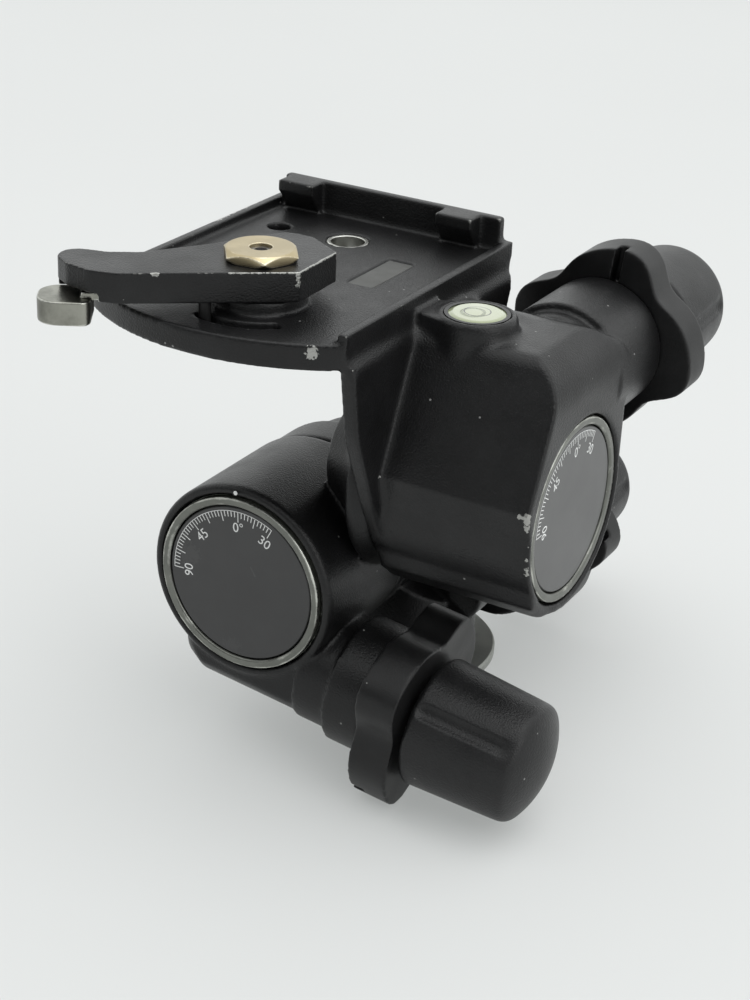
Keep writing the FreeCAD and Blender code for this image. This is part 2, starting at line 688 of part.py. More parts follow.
def front_shaft():
    """Upper tilt shaft with the foot flange screwed to the middle housing."""
    wheel_near = FRONT_DIAL_X - DIAL_T - FRONT_CARRIER_T
    body = turn_x([(0, 6.0), (SHAFT_R, 6.0), (SHAFT_R, 18.6), (20.0, 18.6), (20.0, FLANGE_X1),
                   (SHAFT_R, FLANGE_X1), (SHAFT_R, wheel_near - WHEEL_W),
                   (WHEEL_SEAT_R, wheel_near - WHEEL_W), (WHEEL_SEAT_R, wheel_near + 1.5),
                   (0, wheel_near + 1.5)])
    return cut_all(body, shaft_flange_screws() + carrier_screw_shapes(FRONT))


def shaft_flange_screws():
    """Four countersunk screws through the shaft's foot flange."""
    shapes = []
    for y, z in circle_points(4, 14.5, math.radians(45)):
        screw = turned([(0, 0), (2.0, 0), (2.0, FLANGE_X1 - 12.0), (3.6, FLANGE_X1 - 10.4),
                        (0, FLANGE_X1 - 10.4)])
        screw = placed(screw, frame(V(10.4, FRONT_Y + y, FRONT_Z + z), Y_AXIS, X_AXIS))
        shapes.append(screw)
    return shapes


# ---------------------------------------------------------------- top housing
def tray_plate():
    """Tray floor with its curved front edge."""
    mid_x = (TRAY_X0 + TRAY_X1) / 2
    z = TRAY_Z0
    corners = [V(TRAY_X0, TRAY_FRONT_Y, z), V(TRAY_X0, TRAY_BACK_Y, z),
               V(TRAY_X1, TRAY_BACK_Y, z), V(TRAY_X1, TRAY_FRONT_Y, z)]
    edges = [Part.makeLine(a, b) for a, b in zip(corners, corners[1:])]
    arc = Part.Arc(corners[3], V(mid_x, TRAY_FRONT_Y - TRAY_SAG, z), corners[0]).toShape()
    return Part.Face(Part.Wire(edges + [arc])).extrude(V(0, 0, TRAY_FLOOR_Z - z))


def tray_walls():
    """Side rims, back wall and the two undercut lips."""
    depth = TRAY_BACK_Y - TRAY_FRONT_Y
    rise = TRAY_RIM_Z - TRAY_FLOOR_Z + 1.0
    base = TRAY_FLOOR_Z - 1.0
    shapes = [Part.makeBox(RIM_W, depth, rise, V(x, TRAY_FRONT_Y, base))
              for x in (TRAY_X0, TRAY_X1 - RIM_W)]
    wall = [(0, 5.4, base), (0, TRAY_BACK_Y, base), (0, TRAY_BACK_Y, WALL_TOP_Z - 0.8),
            (0, TRAY_BACK_Y - 0.8, WALL_TOP_Z), (0, 5.4, WALL_TOP_Z)]
    shapes.append(prism(wall, (-47.2, 0, 0), V(69.4, 0, 0)))
    lip = [(0, TRAY_BACK_Y, base), (0, TRAY_BACK_Y - 1.0, WALL_TOP_Z), (0, -0.6, WALL_TOP_Z),
           (0, -0.6, WALL_TOP_Z - 3.2), (0, 3.8, TRAY_FLOOR_Z), (0, 3.8, base)]
    for x in (-45.6, 5.0):
        shapes.append(prism(lip, (x, 0, 0), V(LIP_L, 0, 0)))
    return shapes


def side_wall():
    """Tall left wall that carries the tray down to the upper tilt axis."""
    pts = [(-80.5, TRAY_Z0 + 1.0, 0), (-77.0, 102.9, 20.0), (-67.7, 80.9, 20.0), (-59.0, 64.0, 14.0),
           (-35.0, 56.0, 14.0), (-12.0, 64.0, 10.0), (-6.6, 85.0, 10.0), (7.0, TRAY_Z0 + 1.0, 0)]
    return rounded(pts, (TOP_X0, 0, 0), Y_AXIS, Z_AXIS).extrude(V(4.2, 0, 0))


def top_block():
    """Angular body between the tray and the dial end; its upper front leans back."""
    side = [(TOP_FRONT_Y, CREASE_Z, 0), (LEAN_TOP_Y, BLOCK_TOP_Z, 5.0), (-20.0, BLOCK_TOP_Z, 14.0),
            (-8.0, 116.0, 8.0), (-8.0, 76.0, 10.0), (-14.0, 60.0, 10.0), (-35.0, 51.0, 12.0),
            (-50.5, 53.5, 3.0), (-57.5, 59.5, 3.0)]
    front = [(TOP_X0 + 1.0, 45.0, 0), (TOP_X0 + 1.0, 126.0, 0), (46.0, 126.0, 0),
             (TOP_X1, BLOCK_TOP_Z - 0.7, 14.0), (TOP_X1, 45.0, 0)]
    long_body = rounded(side, (TOP_X0 + 1.0, 0, 0), Y_AXIS, Z_AXIS)
    long_body = long_body.extrude(V(TOP_X1 - TOP_X0 - 1.0, 0, 0))
    deep_body = rounded(front, (0, -90.0, 0), X_AXIS, Z_AXIS).extrude(V(0, 100.0, 0))
    return long_body.common(deep_body)


def level_boss():
    """Raised boss for the bubble level, running into the tray's side."""
    boss = turned([(0, 112.0), (12.6, 112.0), (10.6, LEVEL_Z - 1.2), (9.8, LEVEL_Z), (0, LEVEL_Z)])
    boss.translate(V(LEVEL_X, LEVEL_Y, 0))
    bridge = prism([(LEVEL_X, LEVEL_Y - 10.4, 0), (LEVEL_X, LEVEL_Y + 10.4, 0),
                    (TRAY_X1 - 1.0, LEVEL_Y + 4.0, 0), (TRAY_X1 - 1.0, LEVEL_Y - 7.0, 0)],
                   (0, 0, 114.0), V(0, 0, LEVEL_Z - 114.6))
    return [boss, bridge]


def post_shape():
    """Clamp pivot bolt: wide head under the tray and a threaded end."""
    body = turned([(0, TRAY_Z0 - 2.0), (10.0, TRAY_Z0 - 2.0), (10.0, TRAY_Z0), (4.0, TRAY_Z0),
                   (4.0, LEVER_Z1 - 0.1), (BOLT_END_R, LEVER_Z1 - 0.1), (BOLT_END_R, LEVER_Z1 + 1.9),
                   (1.7, LEVER_Z1 + 1.9), (1.7, LEVER_Z1 + 0.6), (0, LEVER_Z1 + 0.6)])
    body.translate(V(LEVER_X, LEVER_Y, 0))
    return body


def label_recess():
    """Shallow rectangular recess for a blank plate in the tray floor."""
    return Part.makeBox(7.8, 22.8, 2.0, V(1.4, -41.1, TRAY_FLOOR_Z - 1.2))


def top_housing():
    """Top housing: tray, side wall, block, dial end and knob barrel in one casting."""
    drum = front_cyl(TOP_R, TOP_X0, TOP_X1)
    boss = cyl(12.0, 4.6, (LEVER_X, LEVER_Y, TRAY_FLOOR_Z - 1.0), Z_AXIS)
    parts = [tray_plate(), side_wall(), top_block(), drum, boss]
    parts += tray_walls() + level_boss() + barrel_pieces(FRONT)
    body = fused(parts)
    body = body.cut(front_cyl(29.0, TOP_X1, TOP_X1 + 20.0))
    stop_slot = slot_ring(15.6, 19.4, 2.5)
    cuts = [cyl(4.0, 20.0, (LEVER_X, LEVER_Y, TRAY_Z0 - 1.0), Z_AXIS),
            cyl(8.8, 4.4, (LEVER_X, LEVER_Y, TRAY_Z0), Z_AXIS), stop_slot,
            cyl(INSERT_R, 20.0, (HOLE_X, HOLE_Y, TRAY_Z0 - 1.0), Z_AXIS),
            cyl(SMALL_THREAD_R, 20.0, (SMALL_HOLE_X, SMALL_HOLE_Y, TRAY_Z0 - 1.0), Z_AXIS),
            label_recess(), vial_seat(),
            Part.makeBox(15.0, 48.0, 8.0, V(30.0, -42.0, 110.0))]
    return cut_all(body, dial_cuts(FRONT) + barrel_cuts(FRONT) + cuts)


def slot_ring(inner, outer, depth):
    """Curved slot in the tray floor for the lever's stop pin."""
    ring = tube(outer, inner, depth + 0.1, (LEVER_X, LEVER_Y, TRAY_FLOOR_Z - depth), Z_AXIS)
    a0 = math.radians(245)
    a1 = math.radians(319)
    far = 40.0
    wedge = prism([(0, 0, 0), (far * math.cos(a0), far * math.sin(a0), 0),
                   (far * math.cos(a0 + 0.8), far * math.sin(a0 + 0.8), 0),
                   (far * math.cos(a1), far * math.sin(a1), 0)],
                  (LEVER_X, LEVER_Y, TRAY_FLOOR_Z - depth), V(0, 0, depth + 0.1))
    return ring.common(wedge)


def vial_seat():
    """Round pocket for the level."""
    return cyl(LEVEL_R + 1.0, 6.0, (LEVEL_X, LEVEL_Y, LEVEL_Z - 5.0), Z_AXIS)


def level_cup():
    """Black cup that holds the vial."""
    return tube(LEVEL_R + 1.0, LEVEL_R, 5.0, (LEVEL_X, LEVEL_Y, LEVEL_Z - 5.0), Z_AXIS)


def level_vial():
    """Round bubble level with a slightly domed window."""
    body = turned([(0, LEVEL_Z - 5.0), (LEVEL_R, LEVEL_Z - 5.0), (LEVEL_R, LEVEL_Z - 0.3),
                   (LEVEL_R - 1.2, LEVEL_Z + 0.2), (0, LEVEL_Z + 0.5)])
    body.translate(V(LEVEL_X, LEVEL_Y, 0))
    return body


def thread_insert():
    """Steel thread bush in the tray."""
    return tube(INSERT_R, THREAD_R, TRAY_FLOOR_Z - 0.3 - TRAY_Z0, (HOLE_X, HOLE_Y, TRAY_Z0), Z_AXIS)


def blank_plate():
    """Blank plate in the tray's recess."""
    return Part.makeBox(7.6, 22.6, 0.8, V(1.5, -41.0, TRAY_FLOOR_Z - 1.2))


# ---------------------------------------------------------------- clamp

def lever_outline():
    """Corners of the clamp lever with their radii: cam nose right, thumb end left."""
    return [(-49.4, -96.6, 4.0), (-51.0, -92.6, 4.0), (-49.4, -89.2, 4.0), (-46.0, -87.8, 3.0),
            (-41.5, -86.6, 5.0), (-34.4, -81.6, 8.0), (-24.2, -65.6, 20.0), (-14.6, -46.4, 3.0),
            (-10.4, -45.3, 3.0), (-5.9, -45.6, 3.0), (4.9, -52.1, 1.0), (5.6, -71.0, 0.8),
            (-29.8, -98.7, 6.0), (-36.5, -100.7, 6.0), (-44.0, -99.6, 6.0)]


def clamp_lever():
    """Flat cam lever that turns on the pivot bolt."""
    body = rounded(lever_outline(), (0, 0, LEVER_Z0), X_AXIS, Y_AXIS).extrude(V(0, 0, LEVER_Z1 - LEVER_Z0))
    slot = prism([(CATCH_X + 6.0, CATCH_Y - 1.0, 0), (CATCH_X - 1.0, CATCH_Y + 5.5, 0),
                  (-52.0, -97.0, 0), (-52.0, -112.0, 0),
                  (CATCH_X - 19.7, CATCH_Y - 24.0, 0), (CATCH_X + 2.3, CATCH_Y - 2.5, 0)],
                 (0, 0, LEVER_Z0 - 0.1), V(0, 0, 2.2))
    cuts = [cyl(4.0 + RUN, 10.0, (LEVER_X, LEVER_Y, LEVER_Z0 - 1.0), Z_AXIS), slot,
            cyl(1.5, 5.0, (CATCH_X, CATCH_Y, LEVER_Z0), Z_AXIS),
            cyl(3.3, 4.4, (CATCH_X, CATCH_Y, LEVER_Z0), Z_AXIS),
            cyl(1.6, 5.0, stop_pin_base(LEVER_Z0), Z_AXIS)]
    return cut_all(body, cuts)


def stop_pin_base(z):
    """Place of the stop pin: under the lever, over the curved slot."""
    angle = math.radians(252)
    return (LEVER_X + 17.5 * math.cos(angle), LEVER_Y + 17.5 * math.sin(angle), z)


def stop_pin():
    """Pin under the lever that runs in the tray's slot and holds the spring end."""
    return cyl(1.6, 11.0, stop_pin_base(LEVER_Z0 - 6.0), Z_AXIS)


def lever_nut():
    """Brass hexagon nut on the pivot bolt."""
    corner = NUT_R / math.cos(math.pi / 6)
    pts = [(x, y, LEVER_Z1 + 0.1) for x, y in circle_points(6, corner, math.radians(8))]
    body = prism(pts, (LEVER_X, LEVER_Y, 0), V(0, 0, NUT_H))
    dome = turned([(0, LEVER_Z1), (NUT_R + 0.2, LEVER_Z1), (NUT_R + 1.5, LEVER_Z1 + 1.3),
                   (NUT_R - 0.4, LEVER_Z1 + 0.1 + NUT_H), (0, LEVER_Z1 + 0.1 + NUT_H)])
    dome.translate(V(LEVER_X, LEVER_Y, 0))
    body = body.common(dome)
    return body.cut(cyl(BOLT_END_R, 10.0, (LEVER_X, LEVER_Y, LEVER_Z1 - 1.0), Z_AXIS))


def coil(coil_r, wire_r, pitch, height, base):
    """Coil spring with plain ends; its wire is an octagon in section."""
    helix = Part.makeHelix(pitch, height, coil_r)
    section = [V(coil_r + x, 0, z) for x, z in circle_points(8, wire_r, math.pi / 8)]
    profile = Part.makePolygon(section + section[:1])
    body = Part.Wire(helix).makePipeShell([profile], True, True)
    body.translate(V(*base))
    return body


def catch_tab():
    """Bare metal safety catch: rounded thumb block on a flat arm."""
    turn = math.atan2(-100.0 - CATCH_Y, -46.0 - CATCH_X)
    arm = Part.makeBox(17.0, 6.0, 2.0, V(0, -3.0, 0))
    eye = cyl(3.0, 2.0, (0, 0, 0), Z_AXIS)
    thumb = rounded([(14.5, -7.0, 2.5), (14.5, 7.0, 2.5), (28.0, 6.5, 5.5), (28.0, -6.5, 5.5)],
                    (0, 0, -5.6), X_AXIS, Y_AXIS).extrude(V(0, 0, 6.2))
    body = fused([arm, eye, thumb])
    body = body.cut(cyl(1.5 + RUN, 4.0, (0, 0, -1.0), Z_AXIS))
    body.rotate(V(0, 0, 0), Z_AXIS, math.degrees(turn))
    body.translate(V(CATCH_X, CATCH_Y, CATCH_Z0 + 0.1))
    return body


def catch_pin():
    """Pivot pin of the catch, pressed in the lever."""
    return cyl(1.5, 5.5, (CATCH_X, CATCH_Y, LEVER_Z0 - 0.5), Z_AXIS)


# ---------------------------------------------------------------- all nodes
def build():
    """Make and write every node."""
    save("base_plate", base_plate())
    save("base_screws", group(base_screw_shapes()))
    save("pan_post", pan_post())
    save("pan_wheel", pan_wheel())
    save("lower_housing", lower_housing())
    save("pan_bushes", pan_bushes())
    save("pan_cover", pan_cover())
    save("cover_screws", group(cover_screw_shapes()))
    save("side_shaft", side_shaft())
    save("shaft_screw", group(shaft_screw_shapes()))
    save("rear_cap", rear_cap())
    save("mid_housing", mid_housing())
    save("side_bushes", tilt_bushes(SIDE, EAR_FRONT_Y - 0.5 - SIDE_DIAL_Y))
    save("front_shaft", front_shaft())
    save("front_shaft_screws", group(shaft_flange_screws()))
    save("top_housing", top_housing())
    save("front_bushes", tilt_bushes(FRONT, FRONT_DIAL_X - TOP_X0))
    for drive in (SIDE, FRONT):
        save(drive.name + "_wheel", tilt_wheel(drive))
        save(drive.name + "_carrier", dial_carrier(drive))
        save(drive.name + "_carrier_screws", group(carrier_screw_shapes(drive)))
        save(drive.name + "_dial", dial_plate(drive))
        save(drive.name + "_bezel", dial_bezel(drive))
    for drive in DRIVES:
        save(drive.name + "_worm", worm_shaft(drive))
        save(drive.name + "_sleeve", worm_sleeve(drive))
        save(drive.name + "_worm_bushes", worm_bushes(drive))
        save(drive.name + "_ring", release_ring(drive))
        save(drive.name + "_ring_spring", ring_spring(drive))
        save(drive.name + "_knob", knob(drive))
        save(drive.name + "_knob_pin", knob_pin(drive))
    save("level_cup", level_cup())
    save("level_vial", level_vial())
    save("thread_insert", thread_insert())
    save("blank_plate", blank_plate())
    save("lever_post", post_shape())
    save("lever_nut", lever_nut())
    save("lever_spring", coil(6.6, 0.5, 1.3, 2.6, (LEVER_X, LEVER_Y, TRAY_Z0 + 1.0)))
    save("clamp_lever", clamp_lever())
    save("stop_pin", stop_pin())
    save("catch_tab", catch_tab())
    save("catch_pin", catch_pin())
    save("catch_spring", coil(2.4, 0.35, 0.9, 1.0, (CATCH_X, CATCH_Y, LEVER_Z0 + 2.5)))


build()
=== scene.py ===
"""Looks of the geared tripod head: castings, drives, scales, clamp and level."""

import logging
import math
from contextlib import contextmanager
from dataclasses import dataclass, field, replace
from enum import Enum
from typing import Callable, Iterator, Sequence

import bpy
import numpy as np
from mathutils import Matrix, Vector

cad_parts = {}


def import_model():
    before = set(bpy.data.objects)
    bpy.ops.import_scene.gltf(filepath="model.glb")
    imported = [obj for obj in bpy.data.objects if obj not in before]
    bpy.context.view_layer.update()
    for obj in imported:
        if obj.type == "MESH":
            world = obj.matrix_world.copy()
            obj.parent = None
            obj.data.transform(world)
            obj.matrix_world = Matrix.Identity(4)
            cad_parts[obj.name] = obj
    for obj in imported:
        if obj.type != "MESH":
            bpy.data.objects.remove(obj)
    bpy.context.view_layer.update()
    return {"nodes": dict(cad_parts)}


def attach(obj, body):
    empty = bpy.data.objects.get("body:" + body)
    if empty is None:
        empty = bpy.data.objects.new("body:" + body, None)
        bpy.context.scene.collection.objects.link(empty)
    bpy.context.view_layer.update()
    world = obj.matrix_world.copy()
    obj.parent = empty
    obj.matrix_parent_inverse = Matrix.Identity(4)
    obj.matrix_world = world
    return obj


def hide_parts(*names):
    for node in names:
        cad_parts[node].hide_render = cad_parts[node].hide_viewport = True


LOG = logging.getLogger("tripod_head")
MM = 0.001
MERGE_CAD = 0.002
MERGE_NEW = 0.001
CAST_ANGLE = 60.0
SHARE_LEVELS = 10
SMOOTH_FACTOR = 0.5
SMALLEST = 1e-12
Pair = tuple[float, float]
Colour = tuple[float, float, float]
Point = tuple[float, float, float]
Share = Callable[[np.ndarray], np.ndarray]
Piece = bpy.types.Object
Material = bpy.types.Material
Tree = bpy.types.NodeTree
Socket = bpy.types.NodeSocket


# ------------------------------------------------------------------ modelling
class Facing(Enum):
    """Which way a printed scale faces, as turns about X and then Z."""

    FRONT = (math.pi / 2, 0.0)
    RIGHT = (math.pi / 2, math.pi / 2)

    def matrix(self) -> Matrix:
        """The turn that carries an upward-facing scale onto this side."""
        about_x, about_z = self.value
        return Matrix.Rotation(about_z, 4, "Z") @ Matrix.Rotation(about_x, 4, "X")


def deselect_all() -> None:
    """Leave nothing selected."""
    if bpy.context.mode != "OBJECT":
        bpy.ops.object.mode_set(mode="OBJECT")
    bpy.ops.object.select_all(action="DESELECT")


def pick(piece: Piece) -> Piece:
    """Make a piece the only one selected, and active."""
    deselect_all()
    piece.select_set(True)
    bpy.context.view_layer.objects.active = piece
    return piece


def apply_modifier(piece: Piece, kind: str, **settings: object) -> None:
    """Add a modifier with the given settings and apply it.

    Args:
        piece: Mesh object to change.
        kind: Modifier type, such as "BEVEL".
        settings: Values set on the modifier.
    """
    pick(piece)
    modifier = piece.modifiers.new(kind.title(), kind)
    for key, value in settings.items():
        setattr(modifier, key, value)
    bpy.ops.object.modifier_apply(modifier=modifier.name)


def set_in_place(piece: Piece) -> None:
    """Move the object's placement into its mesh."""
    pick(piece)
    bpy.ops.object.transform_apply(location=True, rotation=True, scale=True)


def new_object(name: str, data: bpy.types.ID) -> Piece:
    """Add an object that holds the data, both with one name."""
    data.name = name
    piece = bpy.data.objects.new(name, data)
    bpy.context.scene.collection.objects.link(piece)
    return piece


@contextmanager
def editing(piece: Piece) -> Iterator[None]:
    """Edit a piece's mesh, with all of it selected."""
    pick(piece)
    bpy.ops.object.mode_set(mode="EDIT")
    bpy.ops.mesh.select_all(action="SELECT")
    yield
    bpy.ops.object.mode_set(mode="OBJECT")


def copy_of_node(node: str, name: str) -> Piece:
    """Copy a CAD node into a new piece with its loose triangles merged.

    Args:
        node: Name of the CAD node.
        name: Name of the new piece.

    Returns:
        The new mesh object, in place.
    """
    piece = new_object(name, bpy.data.objects[node].data.copy())
    with editing(piece):
        bpy.ops.mesh.remove_doubles(threshold=MERGE_CAD * MM)
        bpy.ops.mesh.customdata_custom_splitnormals_clear()
    return piece


def copy_piece(source: Piece, name: str, place: Matrix) -> Piece:
    """Copy a finished piece, with its own mesh, to another place.

    Args:
        source: Piece to copy.
        name: Name of the copy.
        place: Turn and move that carries the source onto the copy.

    Returns:
        The copy, with its place in its mesh.
    """
    piece = new_object(name, source.data.copy())
    piece.matrix_world = place
    set_in_place(piece)
    return piece


def join(pieces: Sequence[Piece], name: str) -> Piece:
    """Join pieces into the first one and name it."""
    deselect_all()
    for piece in pieces:
        piece.select_set(True)
    bpy.context.view_layer.objects.active = pieces[0]
    if len(pieces) > 1:
        bpy.ops.object.join()
    pieces[0].name = name
    pieces[0].data.name = name
    return pieces[0]


def face_outwards(piece: Piece) -> None:
    """Merge doubles and point all faces outwards."""
    with editing(piece):
        bpy.ops.mesh.remove_doubles(threshold=MERGE_NEW * MM)
        bpy.ops.mesh.normals_make_consistent(inside=False)


def smooth_shade(piece: Piece, angle: float = 40.0) -> None:
    """Shade a piece smooth across edges flatter than an angle in degrees."""
    pick(piece)
    bpy.ops.object.shade_smooth_by_angle(angle=math.radians(angle))


def mark_edges(piece: Piece, rounds: int = 2) -> None:
    """Store how convex each point is, as attribute "edge", for wear.

    Args:
        piece: Dense mesh to measure.
        rounds: How often the result is spread to its neighbours.
    """
    mesh = piece.data
    count = len(mesh.vertices)
    place = np.empty(count * 3, np.float32)
    normal = np.empty(count * 3, np.float32)
    ends = np.empty(len(mesh.edges) * 2, np.int32)
    mesh.vertices.foreach_get("co", place)
    mesh.vertices.foreach_get("normal", normal)
    mesh.edges.foreach_get("vertices", ends)
    place = place.reshape(-1, 3)
    normal = normal.reshape(-1, 3)
    first, last = ends.reshape(-1, 2).T
    span = place[last] - place[first]
    turn = normal[last] - normal[first]
    bend = (span * turn).sum(1) / np.maximum((span * span).sum(1), SMALLEST)
    number = np.bincount(first, minlength=count) + np.bincount(last, minlength=count)
    number = np.maximum(number, 1)
    value = (np.bincount(first, bend, count) + np.bincount(last, bend, count)) / number
    for _ in range(rounds):
        around = np.bincount(first, value[last], count) + np.bincount(last, value[first], count)
        value = 0.5 * value + 0.5 * around / number
    edge = mesh.attributes.new("edge", "FLOAT", "POINT")
    edge.data.foreach_set("value", (value * MM).astype(np.float32))


def weigh(piece: Piece, share: Share) -> None:
    """Store, in vertex group "part", how much each point belongs to a part of the piece.

    Args:
        piece: Dense mesh to mark.
        share: Gives, for an array of points in mm, each one's share, 0 to 1.
    """
    mesh = piece.data
    place = np.empty(len(mesh.vertices) * 3, np.float32)
    mesh.vertices.foreach_get("co", place)
    weight = np.clip(share(place.reshape(-1, 3) / MM), 0, 1)
    group = piece.vertex_groups.new(name="part")
    for level in range(1, SHARE_LEVELS + 1):
        chosen = np.nonzero(np.round(weight * SHARE_LEVELS) == level)[0]
        if len(chosen):
            group.add(chosen.tolist(), level / SHARE_LEVELS, "REPLACE")


def soften(piece: Piece, share: Share, rounds: int) -> None:
    """Round a part of a dense mesh more than the rest; see weigh for the share."""
    weigh(piece, share)
    apply_modifier(piece, "SMOOTH", factor=SMOOTH_FACTOR, iterations=rounds,
                   vertex_group="part")
    piece.vertex_groups.clear()


def swell(piece: Piece, share: Share, amount: float) -> None:
    """Push a part of a dense mesh out along its normals by an amount in mm."""
    weigh(piece, share)
    apply_modifier(piece, "DISPLACE", strength=amount * MM, mid_level=0.0, direction="NORMAL",
                   vertex_group="part")
    piece.vertex_groups.clear()


def cast(piece: Piece, voxel: float, rounds: int) -> None:
    """Turn hard-edged solids into one casting with rounded edges and fillets.

    Args:
        piece: Joined closed solids.
        voxel: Grid size in mm.
        rounds: Rounds of smoothing over the whole piece.
    """
    size = voxel * 1.0
    apply_modifier(piece, "REMESH", mode="VOXEL", voxel_size=size * MM, adaptivity=0.0)
    fewer = max(2, int(rounds * (voxel / size) ** 2))
    apply_modifier(piece, "SMOOTH", factor=SMOOTH_FACTOR, iterations=fewer)


def slim(piece: Piece, most: int) -> None:
    """Thin a dense mesh to at most a number of triangles."""
    triangles = sum(len(p.vertices) - 2 for p in piece.data.polygons)
    if triangles > most:
        apply_modifier(piece, "DECIMATE", ratio=most / triangles)


# ------------------------------------------------------------------ node groups
GRAIN_ROUNDING = 0.6
WEAR_SCALE = 1400.0
WEAR_PATCHES = 2.2
WEAR_FROM_EDGE = (0.15, 0.3)
SMUDGE_SPAN = (0.35, 0.65)
SCRATCH_WAYS = ((1.0, 14.0, 1.0), (9.0, 1.0, 3.0), (2.0, 1.0, 16.0))
CHIP_AND_HIGHLIGHT_SCALE = 1000.0
CHIP_AND_HIGHLIGHT_RAGGEDNESS = 2.6
CHIP_AND_HIGHLIGHT_REACH = 0.75
CHIP_AND_HIGHLIGHT_BORDER = 0.12


class Sheet:
    """Adds and wires the nodes of one tree."""

    def __init__(self, tree: Tree) -> None:
        """Hold the tree and empty it."""
        self.tree = tree
        tree.nodes.clear()

    def add(self, kind: str, values: dict | None = None, **settings: object) -> bpy.types.Node:
        """Add a node.

        Args:
            kind: Node type, such as "ShaderNodeMath".
            values: Constants or sockets for its inputs, by name or number.
            settings: Properties of the node.

        Returns:
            The node.
        """
        node = self.tree.nodes.new(kind)
        for key, value in settings.items():
            setattr(node, key, value)
        for key, value in (values or {}).items():
            if isinstance(value, Socket):
                self.tree.links.new(value, node.inputs[key])
            else:
                node.inputs[key].default_value = value
        return node

    def math(self, operation: str, *values: object) -> Socket:
        """Add a math node and give its output."""
        inputs = dict(enumerate(values))
        return self.add("ShaderNodeMath", inputs, operation=operation).outputs[0]

    def vector(self, operation: str, *values: object) -> Socket:
        """Add a vector math node and give its output, a number for a product or distance."""
        node = self.add("ShaderNodeVectorMath", dict(enumerate(values)), operation=operation)
        return node.outputs["Value" if operation in ("DOT_PRODUCT", "DISTANCE") else "Vector"]

    def ramp(self, value: object, low: float, high: float, to_low: float = 0.0,
             to_high: float = 1.0) -> Socket:
        """Map a range onto another, smoothly and clamped."""
        inputs = {"Value": value, "From Min": low, "From Max": high,
                  "To Min": to_low, "To Max": to_high}
        return self.add("ShaderNodeMapRange", inputs, interpolation_type="SMOOTHSTEP").outputs[0]

    def mix(self, share: object, first: object, second: object) -> Socket:
        """Mix two colours."""
        node = self.add("ShaderNodeMix", {0: share}, data_type="RGBA")
        for socket, value in ((node.inputs[6], first), (node.inputs[7], second)):
            if isinstance(value, Socket):
                self.tree.links.new(value, socket)
            else:
                socket.default_value = (*value, 1.0)
        return node.outputs[2]

    def noise(self, scale: object, detail: float = 2.0, stretch: Point | None = None,
              rough: float = 0.5) -> Socket:
        """Noise over the object, with features 1/scale metres across."""
        place = self.add("ShaderNodeTexCoord").outputs["Object"]
        if stretch:
            place = self.add("ShaderNodeMapping", {"Vector": place, "Scale": stretch}).outputs[0]
        values = {"Vector": place, "Scale": scale, "Detail": detail, "Roughness": rough}
        return self.add("ShaderNodeTexNoise", values).outputs[0]


def new_material(name: str) -> tuple[Material, Sheet]:
    """Start a material with an empty tree, and give its sheet too."""
    material = bpy.data.materials.new(name)
    material.use_nodes = True
    return material, Sheet(material.node_tree)


def new_group(name: str, inputs: dict[str, float | Point], outputs: Sequence[str]) -> tuple:
    """Start a shader node group with number and vector sockets.

    Args:
        name: Name of the group.
        inputs: Names and default values.
        outputs: Names of the outputs.

    Returns:
        The group, its sheet, its input node and its output node.
    """
    group = bpy.data.node_groups.new(name, "ShaderNodeTree")
    for key, value in inputs.items():
        kind = "NodeSocketVector" if isinstance(value, tuple) else "NodeSocketFloat"
        socket = group.interface.new_socket(name=key, in_out="INPUT", socket_type=kind)
        socket.default_value = value
    for key in outputs:
        group.interface.new_socket(name=key, in_out="OUTPUT", socket_type="NodeSocketFloat")
    sheet = Sheet(group)
    return group, sheet, sheet.add("NodeGroupInput"), sheet.add("NodeGroupOutput")


def grain_group() -> Tree:
    """Raised pebbles of moulded plastic or crinkle paint."""
    group, sheet, given, result = new_group(
        "grain", {"Scale": 1500.0, "Sharpness": 0.5}, ["Height"])
    scale = given.outputs["Scale"]
    warp = sheet.noise(scale)
    place = sheet.add("ShaderNodeTexCoord").outputs["Object"]
    values = {"Vector": place, "Scale": scale, "Smoothness": GRAIN_ROUNDING}
    cells = sheet.add("ShaderNodeTexVoronoi", values, feature="SMOOTH_F1")
    bumps = sheet.math("SUBTRACT", 1.0, cells.outputs[0])
    mixed = sheet.math("ADD", sheet.math("MULTIPLY", bumps, given.outputs["Sharpness"]), warp)
    sheet.tree.links.new(mixed, result.inputs[0])
    return group


def wear_group() -> Tree:
    """Finish rubbed off convex edges in broken patches."""
    group, sheet, given, result = new_group(
        "edge_wear", {"Start": 0.5, "Full": 1.2, "Break": 0.5, "Patch": 160.0}, ["Mask"])
    edge = sheet.add("ShaderNodeAttribute", attribute_name="edge").outputs["Fac"]
    fine = sheet.noise(WEAR_SCALE, detail=3.0, rough=0.7)
    patch = sheet.noise(given.outputs["Patch"])
    spread = sheet.math("MULTIPLY", sheet.math("SUBTRACT", fine, 0.5), given.outputs["Break"])
    place = sheet.math("MULTIPLY", sheet.math("SUBTRACT", patch, 0.5), WEAR_PATCHES)
    total = sheet.math("ADD", edge, sheet.math("ADD", spread, place))
    ramp = sheet.add("ShaderNodeMapRange", {
        "Value": total, "From Min": given.outputs["Start"], "From Max": given.outputs["Full"]})
    on_edge = sheet.ramp(edge, *WEAR_FROM_EDGE)
    sheet.tree.links.new(sheet.math("MULTIPLY", ramp.outputs[0], on_edge), result.inputs[0])
    return group


